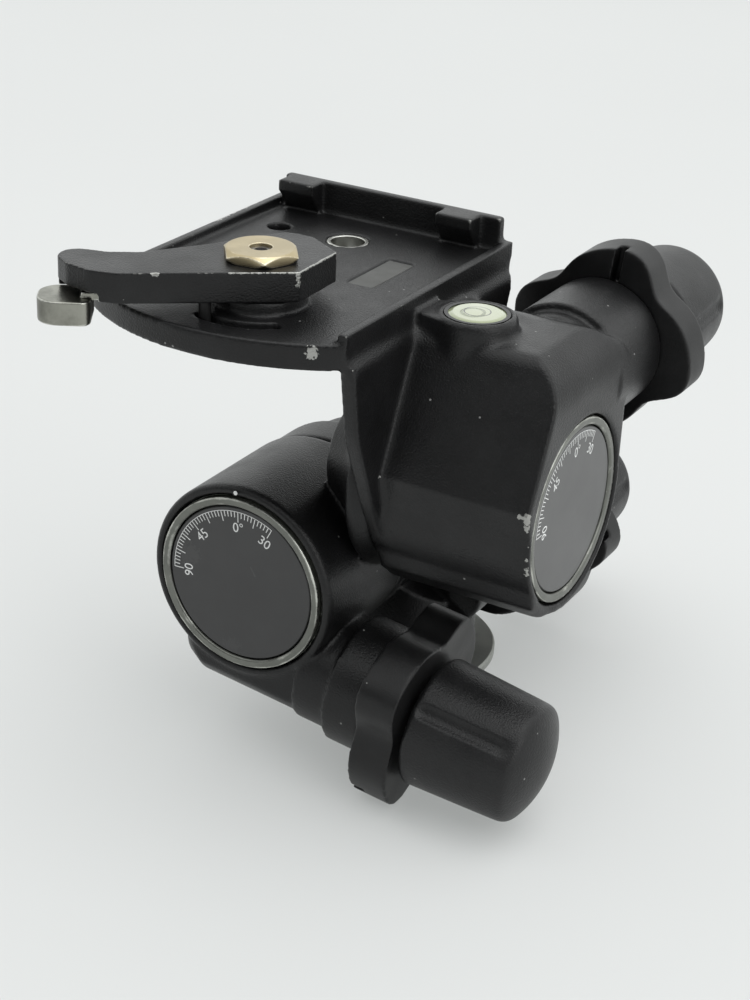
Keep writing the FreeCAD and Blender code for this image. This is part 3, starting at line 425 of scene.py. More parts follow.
def speck_group() -> Tree:
    """Small pale specks of dust, few and scattered."""
    group, sheet, given, result = new_group(
        "specks", {"Scale": 420.0, "Size": 0.14, "Share": 0.12}, ["Mask"])
    place = sheet.add("ShaderNodeTexCoord").outputs["Object"]
    cells = sheet.add("ShaderNodeTexVoronoi", {"Vector": place, "Scale": given.outputs["Scale"]})
    inside = sheet.math("LESS_THAN", cells.outputs["Distance"], given.outputs["Size"])
    pick_out = sheet.add("ShaderNodeSeparateColor", {0: cells.outputs["Color"]}).outputs[0]
    chosen = sheet.math("LESS_THAN", pick_out, given.outputs["Share"])
    sheet.tree.links.new(sheet.math("MULTIPLY", inside, chosen), result.inputs[0])
    return group


def smudge_group() -> Tree:
    """Slow handling marks that vary the sheen."""
    group, sheet, given, result = new_group(
        "smudges", {"Scale": 40.0, "Low": 0.3, "High": 0.5}, ["Value"])
    broad = sheet.noise(given.outputs["Scale"], detail=4.0, rough=0.6)
    ramp = sheet.add("ShaderNodeMapRange", {
        "Value": broad, "From Min": SMUDGE_SPAN[0], "From Max": SMUDGE_SPAN[1],
        "To Min": given.outputs["Low"], "To Max": given.outputs["High"]})
    sheet.tree.links.new(ramp.outputs[0], result.inputs[0])
    return group


def scratch_group() -> Tree:
    """Fine lines of turning or rubbing, in three directions."""
    group, sheet, given, result = new_group("scratches", {"Scale": 260.0, "Edge": 0.72}, ["Mask"])
    total = None
    for stretch in SCRATCH_WAYS:
        lines = sheet.noise(given.outputs["Scale"], detail=3.0, stretch=stretch, rough=0.7)
        line = sheet.math("GREATER_THAN", lines, given.outputs["Edge"])
        total = line if total is None else sheet.math("MAXIMUM", total, line)
    sheet.tree.links.new(total, result.inputs[0])
    return group


def chip_and_highlight_group() -> Tree:
    """One ragged mark along a short line: a chip where the finish is knocked off, and on some
    edges a painted highlight.
    """
    group, sheet, given, result = new_group(
        "chip_and_highlight", {"Start": (0.0, 0.0, 0.0), "End": (0.001, 0.0, 0.0), "Size": 0.001, "Amount": 1.0},
        ["Mask"])
    place = sheet.add("ShaderNodeTexCoord").outputs["Object"]
    start = given.outputs["Start"]
    line = sheet.vector("SUBTRACT", given.outputs["End"], start)
    off = sheet.vector("SUBTRACT", place, start)
    length = sheet.vector("DOT_PRODUCT", line, line)
    along = sheet.math("DIVIDE", sheet.vector("DOT_PRODUCT", off, line), length)
    along = sheet.math("MINIMUM", sheet.math("MAXIMUM", along, 0.0), 1.0)
    step = sheet.add("ShaderNodeVectorMath", {0: line, "Scale": along}, operation="SCALE")
    away = sheet.vector("DISTANCE", off, step.outputs[0])
    share = sheet.math("DIVIDE", away, given.outputs["Size"])
    ragged = sheet.math("SUBTRACT", sheet.noise(CHIP_AND_HIGHLIGHT_SCALE, detail=4.0, rough=0.6), 0.5)
    ragged = sheet.math("MULTIPLY", ragged, CHIP_AND_HIGHLIGHT_RAGGEDNESS)
    left = sheet.math("ADD", sheet.math("SUBTRACT", CHIP_AND_HIGHLIGHT_REACH, share), ragged)
    mask = sheet.math("MULTIPLY", sheet.ramp(left, 0.0, CHIP_AND_HIGHLIGHT_BORDER), given.outputs["Amount"])
    inside = sheet.math("LESS_THAN", share, 1.0)
    sheet.tree.links.new(sheet.math("MULTIPLY", mask, inside), result.inputs[0])
    return group


class Effects:
    """The shared node groups, built once."""

    def __init__(self) -> None:
        """Build every group."""
        self.grain = grain_group()
        self.wear = wear_group()
        self.specks = speck_group()
        self.smudges = smudge_group()
        self.scratches = scratch_group()
        self.chip_and_highlight = chip_and_highlight_group()

    def place(self, sheet: Sheet, group: Tree, **values: object) -> Socket:
        """Place a group in a material and give its output."""
        node = sheet.add("ShaderNodeGroup", node_tree=group)
        for key, value in values.items():
            node.inputs[key].default_value = value
        return node.outputs[0]


# ------------------------------------------------------------------ finishes
BLOTCH_SCALE = 60.0
BLOTCH_SPAN = (0.35, 0.7)
SMUDGE_SCALE = 45.0
SCRATCHES = {"Scale": 240.0, "Edge": 0.74}
SPECKS = {"Scale": 420.0, "Size": 0.13}
SPECK_COLOUR = (0.35, 0.35, 0.34)
SPECK_COVER = 0.6
BARE_AND_HIGHLIGHT_ROUGHNESS = 0.34


@dataclass(frozen=True)
class ChipAndHighlight:
    """Mark along a short line, in mm: a chip where the finish is knocked off, and on a few edges a
    painted highlight in the bare colour.
    """

    start: Point
    end: Point
    size: float
    amount: float


@dataclass(frozen=True)
class Finish:
    """One finish: colours, sheen, grain, wear, and chips and painted highlight lines."""

    name: str
    colour: Colour
    tint: Colour
    sheen: Pair
    metallic: float = 0.0
    grain: float = 0.0
    grain_depth: float = 0.0
    fine: float = 4000.0
    fine_depth: float = 0.004
    bare_and_highlight: Colour = (0.5, 0.5, 0.49)
    wear: Pair | None = None
    dust: float = 0.0
    scratch: float = 0.0
    coat: float = 0.0
    shine: float = 0.5
    chips_and_highlights: tuple[ChipAndHighlight, ...] = ()

    def chip_and_highlight_mask(self, sheet: Sheet, effects: Effects) -> Socket | None:
        """Mask of all chips and painted highlight lines, or nothing if the finish has none."""
        total = None
        for chip_and_highlight in self.chips_and_highlights:
            spot = effects.place(sheet, effects.chip_and_highlight, Start=tuple(v * MM for v in chip_and_highlight.start),
                                 End=tuple(v * MM for v in chip_and_highlight.end), Size=chip_and_highlight.size * MM,
                                 Amount=chip_and_highlight.amount)
            total = spot if total is None else sheet.math("MAXIMUM", total, spot)
        return total

    def build(self, effects: Effects) -> Material:
        """Make the material.

        Args:
            effects: The shared node groups.

        Returns:
            The new material.
        """
        material, sheet = new_material(self.name)
        blotch = sheet.ramp(sheet.noise(BLOTCH_SCALE, detail=5.0, rough=0.65), *BLOTCH_SPAN)
        colour = sheet.mix(blotch, self.colour, self.tint)
        low, high = self.sheen
        rough = effects.place(sheet, effects.smudges, Scale=SMUDGE_SCALE, Low=low, High=high)
        metallic: object = self.metallic
        if self.scratch:
            marks = effects.place(sheet, effects.scratches, **SCRATCHES)
            marks = sheet.math("MULTIPLY", marks, self.scratch)
            colour = sheet.mix(marks, colour, self.bare_and_highlight)
        if self.dust:
            dust = effects.place(sheet, effects.specks, Share=self.dust, **SPECKS)
            colour = sheet.mix(sheet.math("MULTIPLY", dust, SPECK_COVER), colour, SPECK_COLOUR)
        # Chips, painted highlight lines and rubbed edges all show the bare colour, more metallic
        # and smoother.
        worn_and_highlit = self.chip_and_highlight_mask(sheet, effects)
        if self.wear:
            edges = effects.place(sheet, effects.wear, Start=self.wear[0], Full=self.wear[1])
            worn_and_highlit = edges if worn_and_highlit is None else sheet.math("MAXIMUM", worn_and_highlit, edges)
        if worn_and_highlit is not None:
            colour = sheet.mix(worn_and_highlit, colour, self.bare_and_highlight)
            rough = sheet.add("ShaderNodeMix", {0: worn_and_highlit, 2: rough, 3: BARE_AND_HIGHLIGHT_ROUGHNESS}).outputs[0]
            metallic = sheet.math("MAXIMUM", worn_and_highlit, self.metallic)
        height = sheet.math("MULTIPLY", sheet.noise(self.fine, detail=3.0), self.fine_depth)
        if self.grain:
            grain = effects.place(sheet, effects.grain, Scale=self.grain)
            height = sheet.math("ADD", height, sheet.math("MULTIPLY", grain, self.grain_depth))
        bump = sheet.add("ShaderNodeBump", {"Height": height, "Distance": MM, "Strength": 1.0})
        shader = sheet.add("ShaderNodeBsdfPrincipled", {
            "Base Color": colour, "Roughness": rough, "Metallic": metallic,
            "Normal": bump.outputs[0], "Coat Weight": self.coat, "Specular IOR Level": self.shine})
        sheet.add("ShaderNodeOutputMaterial", {0: shader.outputs[0]})
        return material


@dataclass(frozen=True)
class VialFinish:
    """Pale fluid under a clear window, with a ring mark and a bubble."""

    name: str
    centre: Pair
    bubble: Pair
    rim_r: float = 7.3
    rim_width: float = 1.0
    bubble_r: float = 2.9
    bubble_width: float = 0.45
    ring_r: float = 3.4
    ring_width: float = 0.22
    fluid: Colour = (0.40, 0.44, 0.29)
    tint: Colour = (0.46, 0.49, 0.35)
    rim: Colour = (0.32, 0.36, 0.21)
    shade: Colour = (0.20, 0.23, 0.14)
    mark: Colour = (0.02, 0.02, 0.02)
    dome: float = 0.15
    dome_width: float = 0.6
    fluid_scale: float = 120.0
    fluid_span: Pair = (0.3, 0.7)
    smudge_scale: float = 200.0
    sheen: Pair = (0.06, 0.14)
    window: float = 0.8
    window_roughness: float = 0.05

    def ring(self, sheet: Sheet, centre: Pair, radius: float, width: float) -> Socket:
        """Mask of a thin ring round a point, sizes in mm."""
        place = sheet.add("ShaderNodeTexCoord").outputs["Object"]
        flat = sheet.vector("MULTIPLY", place, (1.0, 1.0, 0.0))
        away = sheet.vector("DISTANCE", flat, (centre[0] * MM, centre[1] * MM, 0.0))
        off = sheet.math("ABSOLUTE", sheet.math("SUBTRACT", away, radius * MM))
        return sheet.ramp(off, width * MM * 0.4, width * MM, 1.0, 0.0)

    def build(self, effects: Effects) -> Material:
        """Make the material; see Finish.build."""
        material, sheet = new_material(self.name)
        cloud = sheet.ramp(sheet.noise(self.fluid_scale), *self.fluid_span)
        colour = sheet.mix(cloud, self.fluid, self.tint)
        for centre, radius, width, paint in (
                (self.centre, self.rim_r, self.rim_width, self.rim),
                (self.bubble, self.bubble_r, self.bubble_width, self.shade),
                (self.centre, self.ring_r, self.ring_width, self.mark)):
            colour = sheet.mix(self.ring(sheet, centre, radius, width), colour, paint)
        height = self.ring(sheet, self.bubble, self.bubble_r, self.dome_width)
        height = sheet.math("MULTIPLY", height, self.dome)
        bump = sheet.add("ShaderNodeBump", {"Height": height, "Distance": MM})
        low, high = self.sheen
        rough = effects.place(sheet, effects.smudges, Scale=self.smudge_scale, Low=low, High=high)
        shader = sheet.add("ShaderNodeBsdfPrincipled", {
            "Base Color": colour, "Roughness": rough, "Normal": bump.outputs[0],
            "Coat Weight": self.window, "Coat Roughness": self.window_roughness})
        sheet.add("ShaderNodeOutputMaterial", {0: shader.outputs[0]})
        return material


# Chips in the housings' paint, with two painted highlights among them.
CASTING_CHIPS_AND_HIGHLIGHTS = (
    ChipAndHighlight((18.4, -85.4, 127.0), (18.8, -85.8, 127.8), 2.0, 0.9),
    ChipAndHighlight((19.2, -86.4, 129.2), (20.0, -86.8, 129.2), 1.1, 0.8),
    # A long bare line along the tray's left top edge.
    ChipAndHighlight((-50.6, -25.0, 131.4), (-51.3, -3.0, 131.4), 1.7, 0.85),
    # Painted highlights: thin bare lines along the top front edges of the two lips.
    ChipAndHighlight((-44.6, -1.1, 138.0), (-35.0, -0.9, 138.0), 0.55, 0.7),
    ChipAndHighlight((6.0, -1.1, 138.0), (15.6, -1.1, 138.0), 0.55, 0.7),
    ChipAndHighlight((68.9, -64.6, 85.0), (68.9, -64.3, 89.0), 1.15, 0.9),
    ChipAndHighlight((67.0, -65.0, 88.6), (69.0, -64.4, 88.6), 0.9, 0.8),
    ChipAndHighlight((68.9, -63.2, 77.0), (68.9, -63.0, 76.0), 0.9, 0.8),
    ChipAndHighlight((68.9, -62.6, 73.4), (68.9, -62.0, 71.8), 1.1, 0.9),
    ChipAndHighlight((25.8, -66.0, 88.6), (27.6, -65.6, 89.4), 0.6, 0.8))
# Chips on the lever. The two long thin lines along its top edges are rubbed edges and also its
# painted long highlight.
LEVER_CHIPS_AND_HIGHLIGHTS = (
    ChipAndHighlight((5.5, -71.2, 140.6), (5.4, -71.2, 137.4), 0.9, 1.0),
    # Rubbed top edges, also painted as the lever's long highlight.
    ChipAndHighlight((5.5, -70.6, 140.7), (4.9, -52.4, 140.7), 0.5, 0.9),
    ChipAndHighlight((5.2, -71.4, 140.7), (-8.0, -81.6, 140.7), 0.4, 0.9),
    ChipAndHighlight((-22.0, -92.6, 140.6), (-22.6, -93.0, 140.6), 0.9, 0.8),
    ChipAndHighlight((4.7, -52.0, 140.4), (4.7, -52.2, 139.4), 0.8, 0.8))
# Two soft lighter patches and one fine scratch on the lower scale's face.
SCALE_MARKS = (
    ChipAndHighlight((-28.5, -71.0, 52.0), (-27.0, -71.0, 53.0), 4.0, 0.3),
    ChipAndHighlight((-14.5, -71.0, 28.4), (-13.0, -71.0, 29.0), 3.0, 0.2),
    ChipAndHighlight((-8.0, -70.0, 54.4), (-6.6, -70.0, 52.2), 0.3, 0.5))

PAINT = Finish(
    "black_crinkle_paint", (0.0058, 0.0058, 0.0061), (0.010, 0.010, 0.0105), (0.29, 0.41),
    grain=2100.0, grain_depth=0.11, bare_and_highlight=(0.42, 0.42, 0.40), wear=(0.95, 1.7), dust=0.04,
    shine=0.34, chips_and_highlights=CASTING_CHIPS_AND_HIGHLIGHTS)
LEVER_PAINT = replace(PAINT, name="lever_paint", wear=(1.25, 2.0), chips_and_highlights=LEVER_CHIPS_AND_HIGHLIGHTS)
KNOB = Finish(
    "pebbled_plastic", (0.008, 0.008, 0.0085), (0.013, 0.013, 0.0135), (0.34, 0.44),
    grain=2000.0, grain_depth=0.115, dust=0.03, shine=0.34)
RING = Finish(
    "satin_plastic", (0.006, 0.006, 0.0063), (0.011, 0.011, 0.0113), (0.33, 0.46),
    grain=2200.0, grain_depth=0.03, dust=0.02, shine=0.34)
SCALE = Finish(
    "scale_black", (0.009, 0.009, 0.0095), (0.014, 0.014, 0.0145), (0.28, 0.36), coat=0.5,
    fine=900.0, fine_depth=0.006, bare_and_highlight=(0.10, 0.10, 0.10), chips_and_highlights=SCALE_MARKS)
BEZEL = Finish(
    "bezel_grey", (0.15, 0.155, 0.14), (0.20, 0.205, 0.185), (0.26, 0.38), metallic=0.8,
    bare_and_highlight=(0.60, 0.61, 0.56), wear=(0.6, 1.3), scratch=0.25)
PRINT = Finish("white_print", (0.82, 0.83, 0.82), (0.70, 0.71, 0.70), (0.4, 0.5))
BRASS = Finish(
    "dull_brass", (0.50, 0.42, 0.265), (0.40, 0.335, 0.21), (0.25, 0.38), metallic=1.0,
    bare_and_highlight=(0.80, 0.73, 0.56), wear=(0.6, 1.3), scratch=0.35)
WORN_METAL = Finish(
    "worn_bright_metal", (0.33, 0.33, 0.29), (0.15, 0.15, 0.13), (0.30, 0.52), metallic=1.0,
    bare_and_highlight=(0.66, 0.66, 0.61), wear=(0.7, 1.4), scratch=0.5, grain=1400.0, grain_depth=0.035)
TURNED_METAL = Finish(
    "turned_metal", (0.46, 0.46, 0.44), (0.36, 0.36, 0.34), (0.3, 0.45), metallic=1.0, scratch=0.3)
DISC_METAL = Finish(
    "blasted_disc", (0.42, 0.43, 0.40), (0.32, 0.33, 0.31), (0.45, 0.6), metallic=0.75,
    grain=2200.0, grain_depth=0.02, scratch=0.2)
SCREW_METAL = Finish(
    "screw_metal", (0.40, 0.40, 0.41), (0.30, 0.30, 0.31), (0.25, 0.4), metallic=1.0)
BRIGHT_RIM = Finish(
    "cut_thread_rim", (0.45, 0.45, 0.42), (0.34, 0.34, 0.32), (0.22, 0.36), metallic=1.0,
    bare_and_highlight=(0.85, 0.85, 0.8), wear=(0.5, 1.2), scratch=0.3)
ALLOY = Finish(
    "machined_alloy", (0.58, 0.58, 0.57), (0.50, 0.50, 0.49), (0.3, 0.42), metallic=1.0,
    scratch=0.2)
BRONZE = Finish("bush_bronze", (0.45, 0.30, 0.15), (0.36, 0.24, 0.12), (0.35, 0.5), metallic=1.0)
PLATE = Finish(
    "blank_plate_grey", (0.055, 0.056, 0.052), (0.085, 0.086, 0.081), (0.34, 0.5), metallic=0.5,
    bare_and_highlight=(0.3, 0.3, 0.28), scratch=0.15)
CUP = Finish("cup_black", (0.008, 0.008, 0.008), (0.012, 0.012, 0.012), (0.3, 0.4))
OILED_STEEL = Finish(
    "oiled_steel", (0.012, 0.012, 0.012), (0.02, 0.02, 0.02), (0.3, 0.45), metallic=0.5)
VIAL = VialFinish("level_fluid", (39.4, -39.8), (38.9, -41.2))


def each(part: str) -> tuple[str, ...]:
    """Names of one node in each of the three drives."""
    return tuple(f"{drive}_{part}" for drive in ("pan", "side", "front"))


FINISHED: tuple[tuple[Finish | VialFinish, tuple[str, ...]], ...] = (
    (PAINT, ("lower_housing", "mid_housing", "top_housing")),
    (LEVER_PAINT, ("clamp_lever",)),
    (KNOB, each("knob")),
    (RING, (*each("ring"), "rear_cap")),
    (SCALE, ("side_dial", "front_dial")),
    (BEZEL, ("side_bezel", "front_bezel")),
    (BRASS, (*each("wheel"), "lever_nut")),
    (WORN_METAL, ("catch_tab",)),
    (TURNED_METAL, (*each("worm"), "pan_post", "side_shaft", "front_shaft")),
    (DISC_METAL, ("base_plate",)),
    (SCREW_METAL, (
        *each("knob_pin"), *each("ring_spring"), "base_screws", "cover_screws", "shaft_screw",
        "front_shaft_screws", "side_carrier_screws", "front_carrier_screws", "lever_post",
        "catch_pin", "catch_spring")),
    (BRIGHT_RIM, ("thread_insert",)),
    (ALLOY, (*each("sleeve"), "pan_cover", "side_carrier", "front_carrier")),
    (BRONZE, (*each("bushes"), *each("worm_bushes"))),
    (PLATE, ("blank_plate",)),
    (CUP, ("level_cup",)),
    (OILED_STEEL, ("stop_pin", "lever_spring")),
    (VIAL, ("level_vial",)))
NODE_FINISH = {node: finish for finish, nodes in FINISHED for node in nodes}


class Paintbox:
    """Builds each finish once and puts it on pieces."""

    def __init__(self) -> None:
        """Build the shared effects."""
        self.effects = Effects()
        self.made: dict[str, Material] = {}

    def dress(self, piece: Piece, finish: Finish | VialFinish) -> None:
        """Give a piece its finish, and nothing else."""
        if finish.name not in self.made:
            self.made[finish.name] = finish.build(self.effects)
        piece.data.materials.clear()
        piece.data.materials.append(self.made[finish.name])


def place_piece(piece: Piece, body: str, slot: str, *nodes: str) -> None:
    """Let a finished piece ride on its body and stand for CAD nodes."""
    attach(piece, body)
    if nodes:
        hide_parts(*nodes)
    LOG.info("%s rides on %s, %d faces", piece.name, body, len(piece.data.polygons))


@dataclass(frozen=True)
class Rounded:
    """A piece made by rounding a CAD node: its source, name, body, slot, finish and mesh."""

    node: str
    name: str
    body: str
    slot: str
    finish: Finish
    voxel: float
    rounds: int
    most: int = 120_000

    def build(self, paints: Paintbox, shape: Callable[[Piece], None] | None = None) -> None:
        """Round the node's shape, then thin, paint and place it.

        Args:
            paints: Where finishes come from.
            shape: Shapes parts of the piece further, while its mesh is dense.
        """
        piece = copy_of_node(self.node, self.name)
        cast(piece, self.voxel, self.rounds)
        if shape:
            shape(piece)
        mark_edges(piece)
        slim(piece, self.most)
        smooth_shade(piece, CAST_ANGLE)
        paints.dress(piece, self.finish)
        place_piece(piece, self.body, self.slot, self.node)


# ------------------------------------------------------------------ castings
NEAR_PEAK = 1.2
WALL_PEAK = 1.5


def near(distance: np.ndarray, reach: float) -> np.ndarray:
    """Share that is 1 close by and falls to 0 at the reach."""
    return np.clip(NEAR_PEAK - NEAR_PEAK * distance / reach, 0.0, 1.0)


@dataclass(frozen=True)
class Corner:
    """Inner corner where the side wall meets the block's creased front."""

    wall_x: float = 27.3
    crease: Pair = (-65.0, 88.8)
    top: Pair = (-49.2, 123.9)
    foot: Pair = (-57.5, 59.5)
    reach: float = 5.5
    above: float = 3.0

    def share(self, points: np.ndarray) -> np.ndarray:
        """How much each point (mm) belongs to the corner."""
        heights = (self.foot[1], self.crease[1], self.top[1])
        front = np.interp(points[:, 2], heights, (self.foot[0], self.crease[0], self.top[0]))
        away = np.hypot(points[:, 0] - self.wall_x, points[:, 1] - front)
        level = (points[:, 2] > heights[0]) * (points[:, 2] < heights[2] + self.above)
        return near(away, self.reach) * level


@dataclass(frozen=True)
class BossFoot:
    """Foot of the level's boss on the block."""

    centre: Pair = (39.4, -39.8)
    radius: float = 12.5
    height: float = 123.5
    reach: float = 5.0

    def share(self, points: np.ndarray) -> np.ndarray:
        """How much each point (mm) belongs to the boss's foot."""
        out = np.hypot(points[:, 0] - self.centre[0], points[:, 1] - self.centre[1])
        return near(np.hypot(out - self.radius, points[:, 2] - self.height), self.reach)


@dataclass(frozen=True)
class Run:
    """Edge along X or Y whose cross section is rounded further.

    across is the level axis, 0 or 1, that the edge doesn't run along. centre is the edge's place
    on that axis and in Z.
    """

    across: int
    centre: Pair
    span: Pair
    reach: float

    def share(self, points: np.ndarray) -> np.ndarray:
        """How much each point (mm) belongs to the edge."""
        along = points[:, 1 - self.across]
        away = np.hypot(points[:, self.across] - self.centre[0], points[:, 2] - self.centre[1])
        return near(away, self.reach) * (along > self.span[0]) * (along < self.span[1])


@dataclass(frozen=True)
class Rim:
    """Outer wall of a round part about an axis along X or Y; across and centre as in Run."""

    across: int
    centre: Pair
    radius: float
    span: Pair
    reach: float = 0.8

    def share(self, points: np.ndarray) -> np.ndarray:
        """How much each point (mm) lies on the wall, with soft ends."""
        along = points[:, 1 - self.across]
        out = np.hypot(points[:, self.across] - self.centre[0], points[:, 2] - self.centre[1])
        wall = np.clip(WALL_PEAK - np.abs(out - self.radius) / self.reach, 0.0, 1.0)
        low, high = self.span
        return wall * np.clip(along - low, 0.0, 1.0) * np.clip(high - along, 0.0, 1.0)


TRAY_LEDGE = Run(0, (26.3, 123.4), (-84.0, 12.0), 4.2)
BLOCK_TOE = Run(1, (-51.0, 54.0), (30.0, 72.0), 8.5)
EAR = Rim(0, (-11.5, 48.5), 26.7, (-29.4, -13.6))


@dataclass
class Castings:
    """The three painted housings."""

    voxel: float = 0.6
    rounds: int = 6
    fillet_rounds: int = 26
    broad_rounds: int = 70
    ear_growth: float = 0.9
    most: int = 190_000

    def shape_lower(self, piece: Piece) -> None:
        """Thicken the ear of the lower tilt shaft."""
        swell(piece, EAR.share, self.ear_growth)

    def shape_top(self, piece: Piece) -> None:
        """Fill the inner corners, and round the tray's ledge and the block's toe."""
        for place in (Corner(), BossFoot()):
            soften(piece, place.share, self.fillet_rounds)
        for place in (TRAY_LEDGE, BLOCK_TOE):
            soften(piece, place.share, self.broad_rounds)

    def build(self, paints: Paintbox) -> None:
        """Build the housings."""
        for node, name, body, shape in (
                ("lower_housing", "pan_casting", "lower", self.shape_lower),
                ("mid_housing", "middle_casting", "middle", None),
                ("top_housing", "top_casting", "top", self.shape_top)):
            housing = Rounded(node, name, body, "black_paint", PAINT, self.voxel, self.rounds,
                              self.most)
            housing.build(paints, shape)


# ------------------------------------------------------------------ drives
@dataclass(frozen=True)
class KnobEnd:
    """Rounded outer end of one knob, on its worm's axis."""

    origin: Point
    axis: Point
    edge: float
    radius: float = 16.8
    reach: float = 5.5

    def share(self, points: np.ndarray) -> np.ndarray:
        """How much each point (mm) belongs to the edge between side and dome."""
        off = points - np.array(self.origin)
        along = off @ np.array(self.axis)
        out = np.linalg.norm(off - along[:, None] * np.array(self.axis), axis=1)
        return near(np.hypot(along - self.edge, out - self.radius), self.reach)


DROOP = math.radians(7.0)
SIDE_AXIS = (math.cos(DROOP), 0.0, -math.sin(DROOP))
KNOB_ENDS = {
    "pan": KnobEnd((22.85, 0.0, 31.0), (0.0, 1.0, 0.0), 81.1),
    "side": KnobEnd((-14.285, -58.8, 25.82), SIDE_AXIS, 87.7),
    "front": KnobEnd((55.0, -35.2, 107.3), (0.0, 1.0, 0.0), 91.1)}


@dataclass
class Drives:
    """Knobs and release rings of the three worm drives."""

    voxel: float = 0.4
    rounds: int = 8
    end_rounds: int = 110

    def moulding(self, node: str, name: str, slot: str, finish: Finish) -> Rounded:
        """One knob or ring, which rides on the body of its node's name."""
        return Rounded(node, name, node, slot, finish, self.voxel, self.rounds)

    def build(self, paints: Paintbox) -> None:
        """Build each knob, with its outer end rounded further, and each ring."""
        for drive, end in KNOB_ENDS.items():
            knob = self.moulding(drive + "_knob", drive + "_fluted_knob", "knob_plastic", KNOB)
            knob.build(paints, lambda piece: soften(piece, end.share, self.end_rounds))
            ring = self.moulding(drive + "_ring", drive + "_winged_ring", "ring_plastic", RING)
            ring.build(paints)


# ------------------------------------------------------------------ scales
@dataclass
class Scale:
    """Printed scale of one tilt axis, and the bezel round it."""

    name: str
    body: str
    bezel_body: str
    centre: Point
    facing: Facing
    turn: float = 0.0
    line_r: float = 21.2
    long_tick: float = 3.0
    short_tick: float = 1.7
    line_w: float = 0.24
    outer_w: float = 0.18
    lift: float = 0.02
    first: int = -90
    last: int = 30
    step: int = 3
    long_step: int = 15
    line_steps: int = 80
    depth: float = 0.03
    number_r: float = 16.4
    number_size: float = 3.9
    groove: float = 0.9
    bezel_r: float = 25.7
    bezel_width: float = 5.0
    bezel_wall: float = 0.6
    bezel_voxel: float = 0.22
    bezel_rounds: int = 5
    bezel_most: int = 60_000
    numbers: dict[int, str] = field(
        default_factory=lambda: {-90: "90", -45: "45", 0: "0°", 30: "30"})

    def place(self) -> Matrix:
        """Placement of the scale's plane: Z out of the dial, Y up."""
        turn = Matrix.Rotation(math.radians(self.turn), 4, "Z")
        return Matrix.Translation(Vector(self.centre) * MM) @ self.facing.matrix() @ turn

    def rim(self) -> Rim:
        """Outer wall of the bezel."""
        front = self.facing is Facing.FRONT
        across, level = (0, self.centre[1]) if front else (1, self.centre[0])
        span = (level - self.bezel_width, level + self.bezel_width)
        return Rim(across, (self.centre[across], self.centre[2]), self.bezel_r, span,
                   self.bezel_wall)

    def tick(self, length: float) -> Piece:
        """One tick below the outer line, on the scale's plane at 0 degrees."""
        deselect_all()
        middle = (0, (self.line_r - length / 2) * MM, self.lift * MM)
        bpy.ops.mesh.primitive_cube_add(size=MM, location=middle,
                                        scale=(self.line_w, length, self.depth))
        piece = bpy.context.object
        set_in_place(piece)
        return piece

    def outer_line(self) -> Piece:
        """The line that joins the ticks' outer ends."""
        deselect_all()
        bpy.ops.mesh.primitive_plane_add(size=MM, location=(0, self.line_r * MM, self.lift * MM),
                                         rotation=(0, math.pi / 2, 0))
        piece = bpy.context.object
        piece.scale = (self.depth, self.outer_w, 1.0)
        set_in_place(piece)
        piece.matrix_world = Matrix.Rotation(math.radians(-self.first), 4, "Z")
        set_in_place(piece)
        with editing(piece):
            bpy.ops.mesh.spin(steps=self.line_steps, angle=math.radians(self.last - self.first),
                              center=(0, 0, 0), axis=(0, 0, 1))
        face_outwards(piece)
        return piece

    def number(self, angle: int, text: str) -> Piece:
        """One number, its top towards the rim."""
        deselect_all()
        bpy.ops.object.text_add()
        piece = bpy.context.object
        piece.data.body = text
        piece.data.size = self.number_size * MM
        piece.data.extrude = self.depth / 2 * MM
        piece.data.align_x = "CENTER"
        piece.data.align_y = "CENTER"
        pick(piece)
        bpy.ops.object.convert(target="MESH")
        piece = bpy.context.object
        piece.matrix_world = (Matrix.Rotation(math.radians(-angle), 4, "Z")
                              @ Matrix.Translation((0, self.number_r * MM, self.lift * MM)))
        set_in_place(piece)
        return piece

    def printing(self) -> Piece:
        """Ticks, line and numbers as one piece."""
        long_one = self.tick(self.long_tick)
        short_one = self.tick(self.short_tick)
        pieces = [self.outer_line()]
        for angle in range(self.first, self.last + 1, self.step):
            source = long_one if angle % self.long_step == 0 else short_one
            turn = Matrix.Rotation(math.radians(-angle), 4, "Z")
            pieces.append(copy_piece(source, "tick", turn))
        for angle, text in self.numbers.items():
            pieces.append(self.number(angle, text))
        bpy.data.objects.remove(long_one)
        bpy.data.objects.remove(short_one)
        piece = join(pieces, self.name + "_scale_print")
        piece.matrix_world = self.place()
        set_in_place(piece)
        return piece

    def build(self, paints: Paintbox) -> None:
        """Build the printing and the bezel."""
        printing = self.printing()
        paints.dress(printing, PRINT)
        place_piece(printing, self.body, "dial_face")
        bezel = Rounded(self.name + "_bezel", self.name + "_trim_ring", self.bezel_body,
                        "bezel_grey", BEZEL, self.bezel_voxel, self.bezel_rounds, self.bezel_most)
        bezel.build(paints, lambda piece: swell(piece, self.rim().share, -self.groove))


@dataclass
class IndexDot:
    """White paint dot on the middle casting's rim, beside the lower scale."""

    centre: Point = (-12.8, -70.55, 75.4)
    radius: float = 0.6
    height: float = 0.3
    bevel: float = 0.08
    sides: int = 32

    def build(self, paints: Paintbox) -> None:
        """Build the dot."""
        deselect_all()
        bpy.ops.mesh.primitive_cylinder_add(
            vertices=self.sides, radius=self.radius * MM, depth=self.height * MM,
            location=Vector(self.centre) * MM, rotation=(math.pi / 2, 0, 0))
        piece = bpy.context.object
        piece.name = piece.data.name = "index_dot"
        set_in_place(piece)
        apply_modifier(piece, "BEVEL", width=self.bevel * MM, segments=2)
        smooth_shade(piece)
        paints.dress(piece, PRINT)
        place_piece(piece, "middle", "dial_face")


